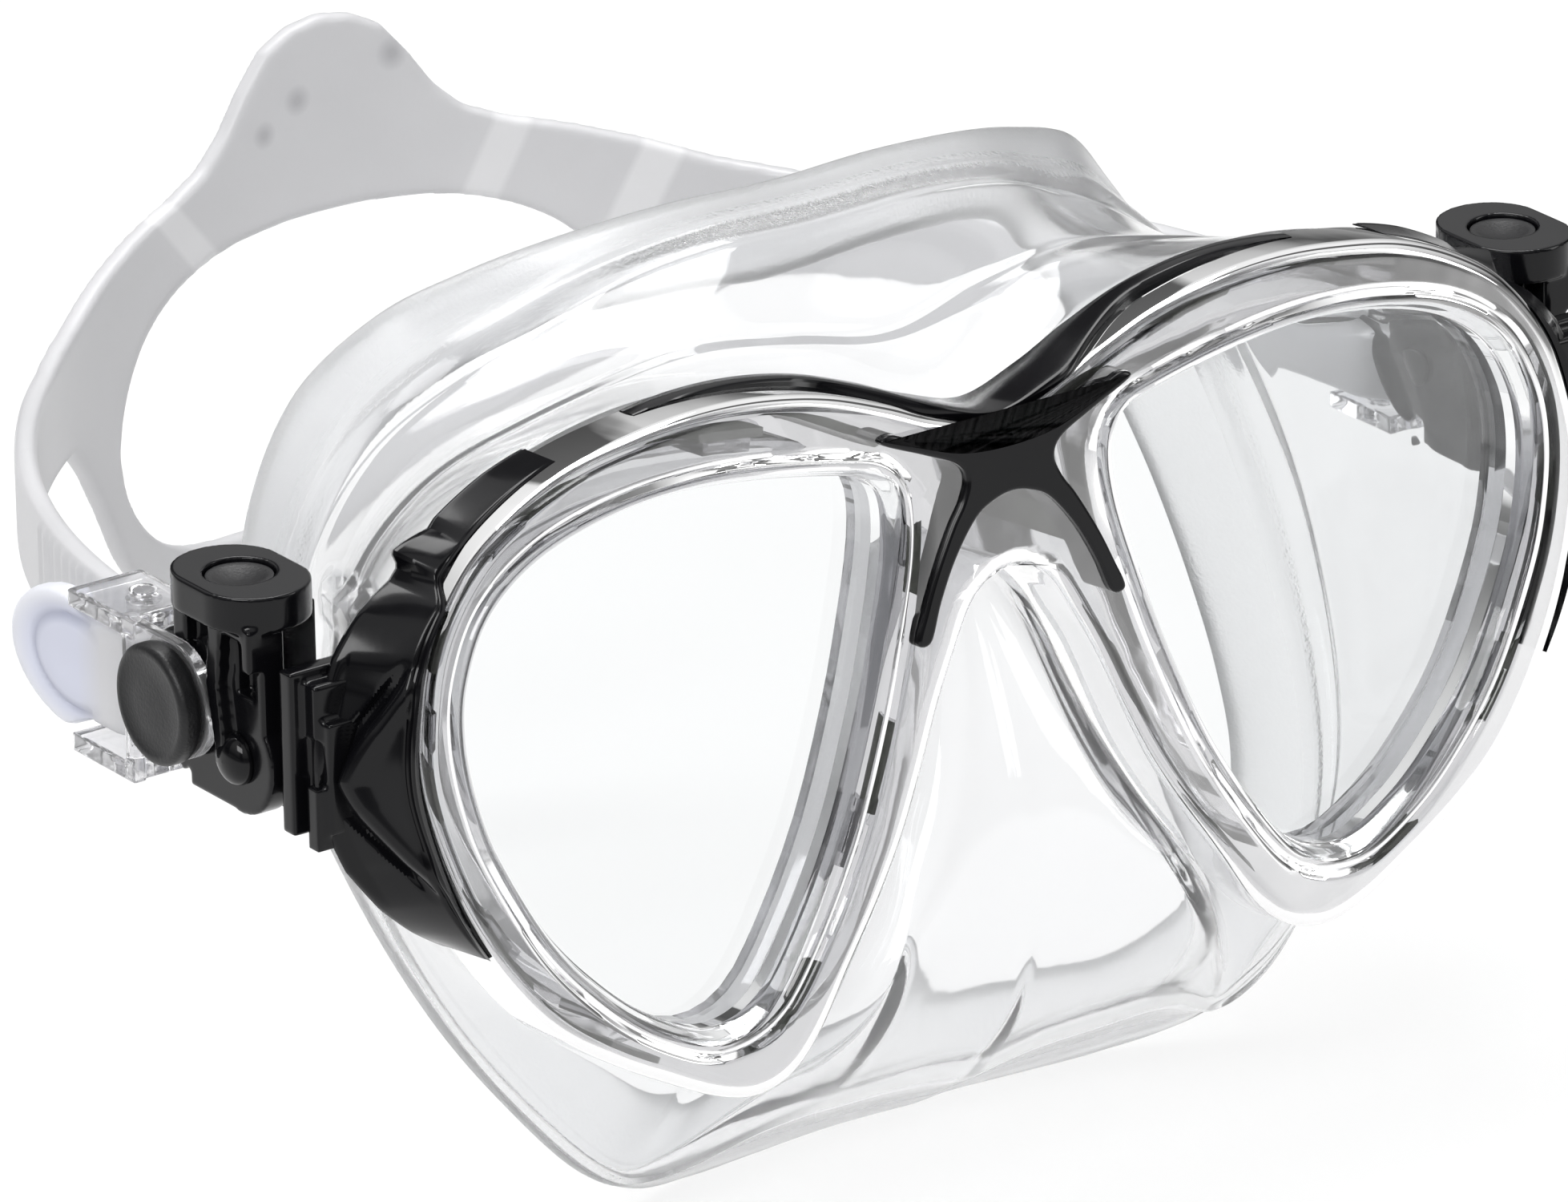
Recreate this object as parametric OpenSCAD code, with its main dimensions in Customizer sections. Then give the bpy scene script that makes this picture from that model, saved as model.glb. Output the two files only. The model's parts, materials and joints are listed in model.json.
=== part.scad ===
// Two-lens diving mask with a moulded skirt, swivelling buckles and a split rubber strap.
// +X is the wearer's left, -Y is the way the lenses face, +Z is up. The mask stands on its
// skirt, and the origin is on the ground, midway along the whole mask.

/* [Frame] */
// Thickness of the front rim ahead of the glass
rim_front = 5.0; // [4:0.5:6]
// Depth of the rim behind the front face of the glass
rim_back = 3.5; // [3.5:0.1:4]
// How far the top of the mask leans back when it stands, in degrees
lean = 6; // [0:1:9]
// Thickness of the tempered glass
glass_t = 3.2; // [3:0.1:3.3]
// Width of glass held behind the rim
glass_lap = 1.7; // [1:0.1:1.8]

/* [Skirt] */
// Wall of the silicone skirt
skirt_wall = 2.0; // [1.6:0.1:2.2]
// Width of the soft edge that seals on the face
seal_w = 12; // [9:1:14]
// Depth from the glass to the seal on the midline
seal_depth = 40; // [36:1:44]

/* [Buckles] */
// Distance from the midline to the middle of each strap run
strap_x = 79; // [79:0.5:81]
// Radius of the pin that joins a buckle to its arm
neck_pin_r = 1.5; // [1.2:0.1:1.8]
// Radius of the round cap that joins a strap cage to its buckle
cap_r = 6.7; // [6:0.1:7]
// Press depth of the release button
button_travel = 1.2; // [0.8:0.1:1.2]

/* [Strap] */
// Thickness of the strap
strap_t = 2.6; // [2.2:0.1:2.8]
// Width of the strap where it passes through the cage
strap_w = 12; // [10:0.5:13]
// How far the strap reaches back behind the cages
strap_reach = 89; // [80:1:90]

/* [Hidden] */
$fn = 48;

// Running clearance of a pin in its bore, and the gap left between pieces that move
run_gap = 0.05;
gap = 0.3;
// Height of the middle of the glass, and the distance from the glass to the middle of the mask
stand_z = 62;
mid_y = 60.65;

// Half outlines in the plane of the glass, from the midline outwards, as [x, z]
rim_half = [[0, 26.5], [8, 28.7], [14.5, 31.5], [22, 34.2], [30, 35.8], [38, 36.3], [46, 35.7],
            [55, 34], [63, 30.5], [69, 26], [74, 18.8], [76.3, 11], [77, 4], [75.5, -4],
            [72.5, -12.5], [68, -20.5], [62.5, -27.2], [56, -32], [49, -36], [43, -39],
            [38, -40.2], [33.5, -39], [29.5, -35.5], [25, -29.3], [20.5, -22.8], [16.5, -16],
            [13.3, -9], [10.6, -2.6], [8.3, 2], [5.5, 7], [2.8, 9.3], [0, 9.9]];
opening = [[20.5, 24.4], [30, 26.2], [40, 27.2], [50, 26.7], [59.5, 24.3], [66, 20], [69.3, 14],
           [70.2, 8], [69.3, 1], [67, -6], [61.5, -16.4], [55, -24], [49, -28.8], [42.3, -31.8],
           [36, -30.2], [30.5, -23.6], [24.8, -13.8], [20.2, -2.5], [17.2, 7], [15.2, 15],
           [15, 20.5], [16.8, 23.2]];
insert_half = [[0, 24.2], [5.4, 24.6], [10, 26], [14.9, 28.4], [16.4, 27.6], [11, 25.2],
               [7, 23.3], [5.8, 21.4], [6.6, 19], [8.3, 16.5], [10.8, 12], [12.6, 8],
               [13.8, 4.8], [12, 4.6], [10.3, 8.7], [8, 13], [5, 16.8], [2.5, 18.2], [0, 18.7]];

// Points of the skirt where it meets the rim, as [x, z], and one for one the points where its
// seal turns in, as [x, z, depth] for a seal_depth of seal_start
skirt_front = [[0, 26.5], [12, 30.4], [25, 34.9], [38, 36.3], [50, 35], [62, 31], [71.5, 23],
               [76.3, 11], [76.5, -1], [73, -11.5], [67, -22], [58, -30.7], [49, -36],
               [38, -40.2], [29.5, -35.5], [20.5, -22.8], [13.3, -9], [7, 4.5], [0, 9.9]];
skirt_seal = [[0, 41.8, 40], [14, 42, 40.5], [27, 40.8, 42], [37, 38.2, 45], [46, 34.5, 48],
              [54, 26.5, 52], [60.5, 16.5, 51.5], [63.8, 6, 49.5], [64.8, -5, 43], [64, -16, 35.5],
              [62, -27, 28], [58.5, -37, 21.5], [53, -46, 17], [45.5, -54.5, 15.5],
              [37, -59.5, 17], [28, -61.4, 19.5], [19, -61.9, 21], [9, -62, 22], [0, -62, 22]];
seal_start = 40;

// Outline of the split part of the strap behind the head, as [x, height from the glass middle]
cradle_top = [[0, 36.2], [4, 35.6], [8, 33.6], [11.5, 29.5], [14.5, 25.2], [18, 22], [23, 20],
              [30, 18.2], [37, 16], [44, 13.4], [52, 11.6]];
cradle_low = [[46, -1], [42, -6], [38.5, -12], [35, -19], [30, -26], [23, -31.5], [13, -35],
              [0, -36]];
cradle_gap = [[0, 12.5], [10, 12.2], [18, 11], [25, 8.5], [30, 5], [33.5, 0], [35, -5.5],
              [34, -11], [31, -16], [26.5, -20], [20, -22.5], [10, -23.5], [0, -23.7]];

// Axes of the buckle, as [y, z]: the neck pin, the round cap, the button and the strap roller
neck = [16, 4];
cap = [25.5, 8];
button_xy = [strap_x + 5, 19];
strap_mid_z = 5;
roller_y = 40;
roller_r = 2;
cap_pin_r = 2;
roller_x = strap_x + strap_t / 2 + gap + roller_r;
tail_x = roller_x + roller_r + gap + strap_t / 2;
cage_half = strap_w / 2 + 1.2;
plate_t = 2.2;

// A smooth curve through the points of a closed outline, with k steps between them
function bend(a, b, c, d, t) = 0.5 * (2 * b + (c - a) * t + (2 * a - 5 * b + 4 * c - d) * t * t
    + (3 * b - a - 3 * c + d) * t * t * t);
function smooth(p, k) = [for (i = [0:len(p) - 1]) for (j = [0:k - 1])
    bend(p[(i + len(p) - 1) % len(p)], p[i], p[(i + 1) % len(p)], p[(i + 2) % len(p)], j / k)];
// A half outline from midline to midline, made whole by its mirror image
function whole(h) = concat(h, [for (i = [len(h) - 2:-1:1])
    [for (j = [0:len(h[i]) - 1]) (j == 0 ? -1 : 1) * h[i][j]]]);
// An outline moved sideways by d: inwards on an outline that runs clockwise
function shifted(p, d) = [for (i = [0:len(p) - 1])
    let (v = p[(i + 1) % len(p)] - p[(i + len(p) - 1) % len(p)])
    p[i] + d * [v[1], -v[0]] / norm(v)];

rim = smooth(whole(rim_half), 3);
eye = smooth(opening, 3);
insert = smooth(whole(insert_half), 3);

// Places a piece that is drawn in the glass's own frame
module at_glass() translate([0, -mid_y, stand_z]) rotate([-lean, 0, 0]) children();
// Places a piece that stays level, measured from the middle of the glass
module at_level() translate([0, -mid_y, stand_z]) children();
// An upright plate from y0 back to y1, with the outline in X and Z
module slab(y0, y1) translate([0, y1, 0]) rotate([90, 0, 0]) linear_extrude(height = y1 - y0) children();
// A round bar or bore along X, centred on c = [y, z]
module bar(c, r, x0, x1) translate([x0, c[0], c[1]]) rotate([0, 90, 0]) cylinder(r = r, h = x1 - x0);
// A block given by its low and high corners
module block(a, b) translate(a) cube(b - a);
// The same piece on the wearer's left (s = 1) or right (s = -1)
module on_side(s) mirror([s < 0 ? 1 : 0, 0, 0]) children();

// Clip places round one lens: point numbers on the lens opening
clip_at = [3, 12, 21, 30, 39, 48, 57];
clip_out = 2.35;
retainer_out = 2.85;
module clips(grow, y0, y1)
    for (i = clip_at)
        let (q = shifted(eye, -clip_out)[i], v = eye[i + 1] - eye[i - 1])
            translate([q[0], 0, q[1]])
                rotate([0, -atan2(v[1], v[0]), 0])
                    block([-2.2 - grow, y0, -0.5 - grow], [2.2 + grow, y1, 0.5 + grow]);

module front_frame()
    color([0.9, 0.91, 0.93])
        at_glass()
            difference() {
                union() {
                    slab(-rim_front, -rim_front + 1) polygon(shifted(rim, 1));
                    slab(-rim_front + 1, rim_back) polygon(rim);
                }
                for (s = [1, -1]) on_side(s) {
                    slab(-rim_front - 1, rim_back + 1) polygon(eye);
                    slab(0, rim_back + 1) polygon(shifted(eye, -glass_lap - 0.1));
                    slab(-rim_front - 1, -rim_front + 1.5) polygon(shifted(eye, -1.2));
                    clips(0.15, -2, rim_back + 1);
                }
                slab(-rim_front - 1, -rim_front + 1.2) polygon(shifted(insert, -0.05));
            }

module lens(s)
    color([0.85, 0.92, 0.93])
        at_glass() on_side(s)
            slab(0.05, 0.05 + glass_t) polygon(shifted(eye, -glass_lap));

module retainer(s)
    color([0.88, 0.9, 0.92])
        at_glass() on_side(s) {
            difference() {
                slab(rim_back, rim_back + 2.6) polygon(shifted(eye, -retainer_out));
                slab(rim_back - 1, rim_back + 4) polygon(shifted(eye, -0.2));
            }
            clips(0, -1.8, rim_back + 0.5);
        }

module bridge_insert()
    color([0.03, 0.03, 0.03])
        at_glass() slab(-rim_front - 0.8, -rim_front + 1.2) polygon(insert);

// The strip follows the top of the rim between two points of its outline
brow_n = 17;
brow_side = [for (i = [0:brow_n]) rim[i]];
brow_edge = [for (i = [0:brow_n]) rim[i] + [0, 0.9 * (1 - pow(i / brow_n, 3)) + 0.15]];
module brow_insert()
    color([0.03, 0.03, 0.03])
        at_glass()
            slab(-rim_front + 1, rim_back)
                polygon(concat(brow_edge, [for (i = [brow_n:-1:1]) brow_side[i]],
                    [for (i = [0:brow_n]) [-brow_side[i][0], brow_side[i][1]]],
                    [for (i = [brow_n:-1:1]) [-brow_edge[i][0], brow_edge[i][1]]]));

// The crescent hugs the rim between two points of its outline and swells in the middle
arm_first = 21;
arm_last = 44;
// Its width at places along the rim, counted in points of rim_half, with a notch above the neck
arm_width = [[7, 0.4], [7.6, 1.6], [8.2, 2.6], [9, 3.4], [9.4, 2.3], [9.9, 4.4], [10.4, 6.2],
             [11.2, 7.4], [12.2, 7.7], [13, 6.6], [13.6, 4.6], [14.1, 2.4], [14.7, 0.4]];
arm_in = [for (i = [arm_first:arm_last]) rim[i]];
arm_out = [for (i = [arm_last:-1:arm_first])
    shifted(rim, -lookup(i / 3, arm_width))[i]];
tongue_x = [strap_x + 0.5, strap_x + 4.5];
module arm(s)
    color([0.03, 0.03, 0.03]) {
        on_side(s) {
            at_glass() slab(-rim_front + 0.6, rim_back + 1.5) polygon(concat(arm_in, arm_out));
            at_level()
                difference() {
                    union() {
                        bar(neck, 5.5, tongue_x[0], tongue_x[1]);
                        block([tongue_x[0], 3, neck[1] - 5.5], [tongue_x[1], neck[0], neck[1] + 5.5]);
                    }
                    bar(neck, neck_pin_r + run_gap, tongue_x[0] - 1, tongue_x[1] + 1);
                }
        }
    }

module neck_pin(s)
    color([0.05, 0.05, 0.05])
        at_level() on_side(s) {
            bar(neck, neck_pin_r, ear_x[0] - 0.6, ear_x[3] + 0.5);
            bar(neck, 2.9, ear_x[3] + 0.1, ear_x[3] + 1.5);
            bar(neck, 2.1, ear_x[0] - 1, ear_x[0] - 0.1);
        }

// Faces of the buckle's two ears, from the head outwards
ear_x = [strap_x - 2.8, tongue_x[0] - gap, tongue_x[1] + gap, strap_x + 7.8];
flange_z = [19.5, 23.5];
post_y = [15, 24];
shoulder_y = [11, 25.4];
shoulder_x = ear_x[3] + 1.6;
module buckle(s)
    color([0.04, 0.04, 0.04])
        at_level() on_side(s)
            difference() {
                union() {
                    bar(neck, 6.3, ear_x[0], ear_x[3]);
                    bar(cap, 7.5, ear_x[0], ear_x[3]);
                    block([ear_x[0], neck[0], -2.2], [ear_x[3], cap[0], 11.5]);
                    block([ear_x[0] + 1, post_y[0], 11], [ear_x[3], post_y[1], 20]);
                    block([ear_x[3] - 1, shoulder_y[0], 15.2], [shoulder_x, shoulder_y[1], 20]);
                    block([ear_x[3] - 3, shoulder_y[0], neck[1]], [ear_x[3], post_y[1], 20]);
                    translate([button_xy[0], button_xy[1] - 2.5, flange_z[0]])
                        cylinder(r = 6.2, h = flange_z[1] - flange_z[0]);
                    translate([button_xy[0], button_xy[1] + 2, flange_z[0]])
                        cylinder(r = 6.2, h = flange_z[1] - flange_z[0]);
                    block([button_xy[0] - 6.2, button_xy[1] - 2.5, flange_z[0]],
                          [button_xy[0] + 6.2, button_xy[1] + 2, flange_z[1]]);
                }
                // Slot for the arm's tongue, wide enough for the whole tilt
                block([ear_x[1], neck[0] - 8, -8], [ear_x[2], neck[0] + 6.2, neck[1] + 6.6]);
                bar(neck, neck_pin_r + run_gap, ear_x[0] - 1, ear_x[3] + 1);
                bar(cap, cap_pin_r + run_gap, ear_x[0] - 1, ear_x[3] + 1);
                // Well of the button, and the pocket of its spring below
                translate([button_xy[0], button_xy[1], flange_z[0] - 0.4]) cylinder(r = 3.9, h = 6);
                translate([button_xy[0], button_xy[1], 12.5]) cylinder(r = 2.6, h = 10);
                // Two recesses side by side that lighten the outer side, and a window ahead of them
                block([ear_x[3] - 0.1, 18.4, 9.5], [shoulder_x + 1, 23, 18.4]);
                block([ear_x[3] - 1.8, 12.6, 11.4], [shoulder_x + 1, 15.8, 18.4]);
                block([ear_x[3] - 0.1, 15.8, 13.4], [shoulder_x + 1, 16.8, 18.4]);
            }

module release_button(s)
    color([0.06, 0.06, 0.06])
        at_level() on_side(s)
            translate([button_xy[0], button_xy[1], 0]) {
                translate([0, 0, flange_z[0] + button_travel - 0.2]) cylinder(r = 3.7, h = 1.8);
                translate([0, 0, 15]) cylinder(r = 1.2, h = flange_z[0] + button_travel - 15);
            }

// Coil spring: a round wire swept along a helix
spring_z = [12.6, 20.4];
spring_turns = 4.5;
spring_r = 1.95;
wire_r = 0.3;
function coil_frame(u) =
    let (a = 360 * spring_turns * u, h = (spring_z[1] - spring_z[0] - 2 * wire_r) * u)
    [[spring_r * cos(a), spring_r * sin(a), spring_z[0] + wire_r + h], [cos(a), sin(a), 0]];
coil_steps = 63;
wire_sides = 6;
function coil_points() = [for (i = [0:coil_steps]) for (j = [0:wire_sides - 1])
    let (f = coil_frame(i / coil_steps), b = 360 * j / wire_sides)
    f[0] + wire_r * cos(b) * f[1] + [0, 0, wire_r * sin(b)]];
function tube_faces(n, m) = concat(
    [for (i = [0:n - 1]) for (j = [0:m - 1]) [i * m + j, (i + 1) * m + j, (i + 1) * m + (j + 1) % m]],
    [for (i = [0:n - 1]) for (j = [0:m - 1]) [i * m + j, (i + 1) * m + (j + 1) % m, i * m + (j + 1) % m]],
    [[for (j = [0:m - 1]) j]], [[for (j = [m - 1:-1:0]) n * m + j]]);
module button_spring(s)
    color([0.7, 0.7, 0.72])
        at_level() on_side(s)
            translate([button_xy[0], button_xy[1], 0])
                polyhedron(coil_points(), tube_faces(coil_steps, wire_sides));

// The cage hangs on one ear outside the buckle and reaches in over the strap roller
cage_x = [roller_x - 3.4, ear_x[3] + gap, ear_x[3] + gap + 1.6];
cage_y = [34, 45.6];
module cage(s)
    color([0.92, 0.92, 0.94])
        at_level() on_side(s)
            difference() {
                union() {
                    bar(cap, 6.6, cage_x[1], cage_x[2]);
                    block([cage_x[1], cap[0], cap[1] - 6.6], [cage_x[2], cage_y[0] + 1, cap[1] + 6.6]);
                    for (d = [-1, 1])
                        translate([cage_x[0], cage_y[0], strap_mid_z + d * (cage_half + plate_t / 2) - plate_t / 2])
                            cube([cage_x[2] - cage_x[0], cage_y[1] - cage_y[0], plate_t]);
                    block([cage_x[1], cage_y[0] - 0.6, strap_mid_z - cage_half - plate_t],
                          [cage_x[2], cage_y[0] + 1.2, strap_mid_z + cage_half + plate_t]);
                }
                bar(cap, cap_pin_r + run_gap, cage_x[1] - 1, cage_x[2] + 1);
                translate([roller_x, roller_y, strap_mid_z - 20]) cylinder(r = 1.2 + run_gap, h = 40);
            }

module pivot_cap(s)
    color([0.05, 0.05, 0.05])
        at_level() on_side(s) {
            bar(cap, cap_pin_r, ear_x[0] - 0.6, cage_x[2] + 1);
            bar(cap, cap_r - 0.9, cage_x[2] + gap, cage_x[2] + 3.2);
            bar(cap, cap_r, cage_x[2] + gap + 0.6, cage_x[2] + 2.6);
            bar(cap, 2.7, ear_x[0] - 0.8, ear_x[0] - 0.1);
        }

module roller(s)
    color([0.75, 0.75, 0.77])
        at_level() on_side(s)
            translate([roller_x, roller_y, strap_mid_z]) {
                cylinder(r = roller_r, h = 2 * (cage_half - 0.2), center = true);
                cylinder(r = 1.2, h = 2 * (cage_half + plate_t), center = true);
            }

function leaned(p) = [p[0], p[1] * cos(lean) + p[2] * sin(lean), p[2] * cos(lean) - p[1] * sin(lean)];
front_loop = smooth(whole(skirt_front), 2);
seal_loop = smooth(whole(skirt_seal), 2);
skirt_n = len(front_loop);
// How far a line of the skirt is from the midline under the bridge, and how much it belongs to
// the nose pocket, whose front panel stands ahead of the rim and widens downwards
function nose_way(k) = abs(k - skirt_n / 2) / (skirt_n / 2);
pocket_way = [0.13, 0.26];
function ease(x) = let (t = min(1, max(0, x))) t * t * (3 - 2 * t);
function nose_part(u) = 1 - ease((u - pocket_way[0]) / (pocket_way[1] - pocket_way[0]));
pocket_drop = 20;
pocket_push = 11;
pocket_floor = 44;
// Share of the wall's depth over which it leaves the rim and reaches the seal straight
leave = 0.4;
reach = 0.5;
// Behind the brow and temples the wall is drawn in like a waist: where, over what width, how far
waist_at = 0.78;
waist_width = 0.11;
waist_in = [5, 13];
waist_start = 0.5;
function waist(u) = exp(-pow((u - waist_at) / waist_width, 2));
function to_middle(p) = let (c = [0, -10] - [p[0], p[1]]) c / norm(c);
// A point of the seal, g inwards from where the wall turns in and y further back
function seal_point(k, g, y) =
    let (p = seal_loop[k], c = g * to_middle(p))
    [p[0] + c[0], p[2] + seal_depth - seal_start + y, p[1] + c[1]];
// The wall starts behind the rim, except at the nose, where it passes between the two lobes
start_in = shifted(front_loop, 1);
start_waist = shifted(front_loop, waist_start);
start_out = shifted(front_loop, -0.4);
start_line = [for (k = [0:skirt_n - 1])
    let (u = nose_way(k), w = nose_part(u), i = waist(u),
         f = (1 - w) * ((1 - i) * start_in[k] + i * start_waist[k]) + w * start_out[k])
    leaned([f[0], rim_back + 0.12, f[1]])];
// One point of the outer face of the wall: t runs from the rim (0) to the seal (1)
function wall_out(k, t) =
    let (u = nose_way(k), w = nose_part(u), a = start_line[k],
         e = seal_point(k, 0, 0), run = (1 - w) * (e[1] - a[1]),
         in = waist(u) * (seal_point(k, 1, 0) - e),
         b = a + [0, leave * run, 0] + waist_in[0] * in + w * [0, -pocket_push, -pocket_drop * (1 - 4 * u)],
         c = e - [0, reach * run, 0] + waist_in[1] * in + w * [0, -pocket_floor, pocket_drop + 70 * u])
    pow(1 - t, 3) * a + 3 * t * pow(1 - t, 2) * b + 3 * t * t * (1 - t) * c + pow(t, 3) * e;
// The inner face lies one wall thickness away, square to the outer one
function wall_in(k, t) =
    let (along = wall_out(k, min(1, t + 0.02)) - wall_out(k, max(0, t - 0.02)),
         around = wall_out((k + 1) % skirt_n, t) - wall_out((k + skirt_n - 1) % skirt_n, t),
         v = cross(along, around))
    wall_out(k, t) + skirt_wall * v / norm(v);
wall_steps = [0, 0.08, 0.18, 0.3, 0.42, 0.54, 0.66, 0.78, 0.9, 1];
seal_rings = [[0.5, 1.4], [seal_w / 2, 2.6], [seal_w, 1.6], [seal_w, 0.8], [seal_w / 2, 0.9]];
skirt_points = concat(
    [for (t = wall_steps) for (k = [0:skirt_n - 1]) wall_out(k, t)],
    [for (r = seal_rings) for (k = [0:skirt_n - 1]) seal_point(k, r[0], r[1])],
    [for (i = [len(wall_steps) - 1:-1:0]) for (k = [0:skirt_n - 1]) wall_in(k, wall_steps[i])]);
skirt_rings = 2 * len(wall_steps) + len(seal_rings);
module skirt()
    color([0.93, 0.93, 0.95])
        at_level()
            polyhedron(skirt_points, concat(
                [for (i = [0:skirt_rings - 1]) for (k = [0:skirt_n - 1])
                    [i * skirt_n + k, i * skirt_n + (k + 1) % skirt_n,
                     ((i + 1) % skirt_rings) * skirt_n + (k + 1) % skirt_n]],
                [for (i = [0:skirt_rings - 1]) for (k = [0:skirt_n - 1])
                    [i * skirt_n + k, ((i + 1) % skirt_rings) * skirt_n + (k + 1) % skirt_n,
                     ((i + 1) % skirt_rings) * skirt_n + k]]));

// The strap's plan is half an ellipse, with a turn round each roller and a short tail outside
function plan(a, d) = [(strap_x + d) * cos(a), roller_y + (strap_reach + d) * sin(a)];
plan_step = 4;
turn_in = roller_r + gap;
turn_out = turn_in + strap_t;
leaf_len = 13;
leaf_half = 8.2;
leaf_y = cage_y[1] + 0.4;
leaf = concat([[roller_y, -strap_w / 2], [leaf_y, -strap_w / 2]],
    [for (a = [-80:20:80]) [leaf_y + 0.6 + leaf_len * cos(a), leaf_half * sin(a)]],
    [[leaf_y, strap_w / 2], [roller_y, strap_w / 2]]);
module strap_turn(s)
    on_side(s) {
        translate([roller_x, roller_y, strap_mid_z])
            difference() {
                cylinder(r = turn_out, h = strap_w, center = true);
                cylinder(r = turn_in, h = strap_w + 2, center = true);
                translate([-turn_out - 1, 0, -strap_w]) cube([2 * turn_out + 2, turn_out + 1, 2 * strap_w]);
            }
        // The tail widens into a leaf-shaped pull tab
        translate([tail_x - strap_t / 2, 0, 0])
            rotate([90, 0, 90])
                linear_extrude(height = strap_t)
                    polygon([for (q = leaf) [q[0], q[1] + strap_mid_z]]);
    }
// Back view of the strap: its two runs, and the split cradle between them
band = concat(cradle_top,
    [[90, strap_mid_z + strap_w / 2], [90, strap_mid_z - strap_w / 2]], cradle_low);
module strap()
    color([0.78, 0.78, 0.8])
        at_level() {
            intersection() {
                translate([0, 0, -40])
                    linear_extrude(height = 80)
                        polygon(concat([for (a = [0:plan_step:180]) plan(a, strap_t / 2)],
                                       [for (a = [180:-plan_step:0]) plan(a, -strap_t / 2)]));
                slab(roller_y - 1, roller_y + strap_reach + 9)
                    difference() {
                        polygon(whole(band));
                        polygon(smooth(whole(cradle_gap), 2));
                    }
            }
            for (s = [1, -1]) strap_turn(s);
        }

front_frame();
lens(-1);  // lens_right
lens(1);  // lens_left
retainer(-1);  // retainer_right
retainer(1);  // retainer_left
bridge_insert();
brow_insert();
arm(-1);  // arm_right
arm(1);  // arm_left
skirt();
buckle(-1);  // buckle_right
buckle(1);  // buckle_left
neck_pin(-1);  // neck_pin_right
neck_pin(1);  // neck_pin_left
cage(-1);  // cage_right
cage(1);  // cage_left
pivot_cap(-1);  // pivot_cap_right
pivot_cap(1);  // pivot_cap_left
roller(-1);  // roller_right
roller(1);  // roller_left
release_button(-1);  // release_button_right
release_button(1);  // release_button_left
button_spring(-1);  // button_spring_right
button_spring(1);  // button_spring_left
strap();
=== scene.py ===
# %% [markdown]
# # A two-lens diving mask, dressed round its CAD frame
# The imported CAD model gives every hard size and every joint. This notebook adds what a maker
# would add last: moulded edges, soft silicone, clear plastic and glass. Each piece is made in
# the frame of the CAD model, so nothing has to be fitted afterwards.

# %% Load the frame
import json
import math

import bmesh
import bpy
import numpy as np
from mathutils import Matrix, Vector


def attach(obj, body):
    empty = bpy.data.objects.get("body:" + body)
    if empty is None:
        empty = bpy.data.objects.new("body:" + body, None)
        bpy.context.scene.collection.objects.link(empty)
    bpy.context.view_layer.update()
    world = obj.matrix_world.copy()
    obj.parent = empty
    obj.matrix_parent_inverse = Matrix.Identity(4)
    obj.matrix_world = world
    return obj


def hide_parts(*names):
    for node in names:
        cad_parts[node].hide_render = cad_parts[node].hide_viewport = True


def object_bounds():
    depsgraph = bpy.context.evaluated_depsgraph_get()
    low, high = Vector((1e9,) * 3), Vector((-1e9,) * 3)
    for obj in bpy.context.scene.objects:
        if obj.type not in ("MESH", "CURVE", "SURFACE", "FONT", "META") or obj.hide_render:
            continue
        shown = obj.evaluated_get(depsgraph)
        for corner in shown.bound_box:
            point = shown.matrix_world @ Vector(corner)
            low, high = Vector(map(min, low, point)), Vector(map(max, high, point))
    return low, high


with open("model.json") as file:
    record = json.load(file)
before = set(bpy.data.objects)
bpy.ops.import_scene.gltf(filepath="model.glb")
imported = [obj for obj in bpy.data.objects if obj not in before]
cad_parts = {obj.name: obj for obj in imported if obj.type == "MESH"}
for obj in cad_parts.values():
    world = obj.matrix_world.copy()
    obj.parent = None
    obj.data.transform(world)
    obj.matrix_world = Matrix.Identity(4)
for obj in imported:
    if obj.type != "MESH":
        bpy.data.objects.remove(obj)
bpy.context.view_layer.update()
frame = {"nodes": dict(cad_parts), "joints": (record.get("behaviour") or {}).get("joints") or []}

# %% [markdown]
# Everything on a mask is measured from its glass. The neck hinge of the right buckle lies
# 81.5 mm out, 16 mm behind and 4 mm above the middle of the glass, so the hinge's position in
# the record says where the middle of the glass is. The front of the mask leans back by 6 degrees.

# %% Where the glass is
MM = 0.001
NECK = np.array([-81.5, 16.0, 4.0])
LEAN = math.radians(6)
hinge = next(j for j in frame["joints"] if j["name"] == "buckle_tilt_right")
GLASS = np.array(hinge["pos_m"]) - NECK * MM


def level(points):
    """Points in mm from the middle of the glass, kept level, as metres in the frame."""
    return np.asarray(points, float) * MM + GLASS


def leaned(points):
    """Points in mm in the plane of the glass, turned back by the lean, still in mm."""
    p = np.asarray(points, float)
    c, s = math.cos(LEAN), math.sin(LEAN)
    return np.stack([p[..., 0], p[..., 1] * c + p[..., 2] * s, p[..., 2] * c - p[..., 1] * s], -1)


print("middle of the glass at", GLASS.round(4))

# %% [markdown]
# The camera stands 1.6 m away with a long lens, 36 degrees to the wearer's right and 22 degrees
# up. A long lens keeps the mask's proportions, as in a maker's catalogue. The camera is then
# panned a little, so that both lenses and the whole strap have room in the view.

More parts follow.
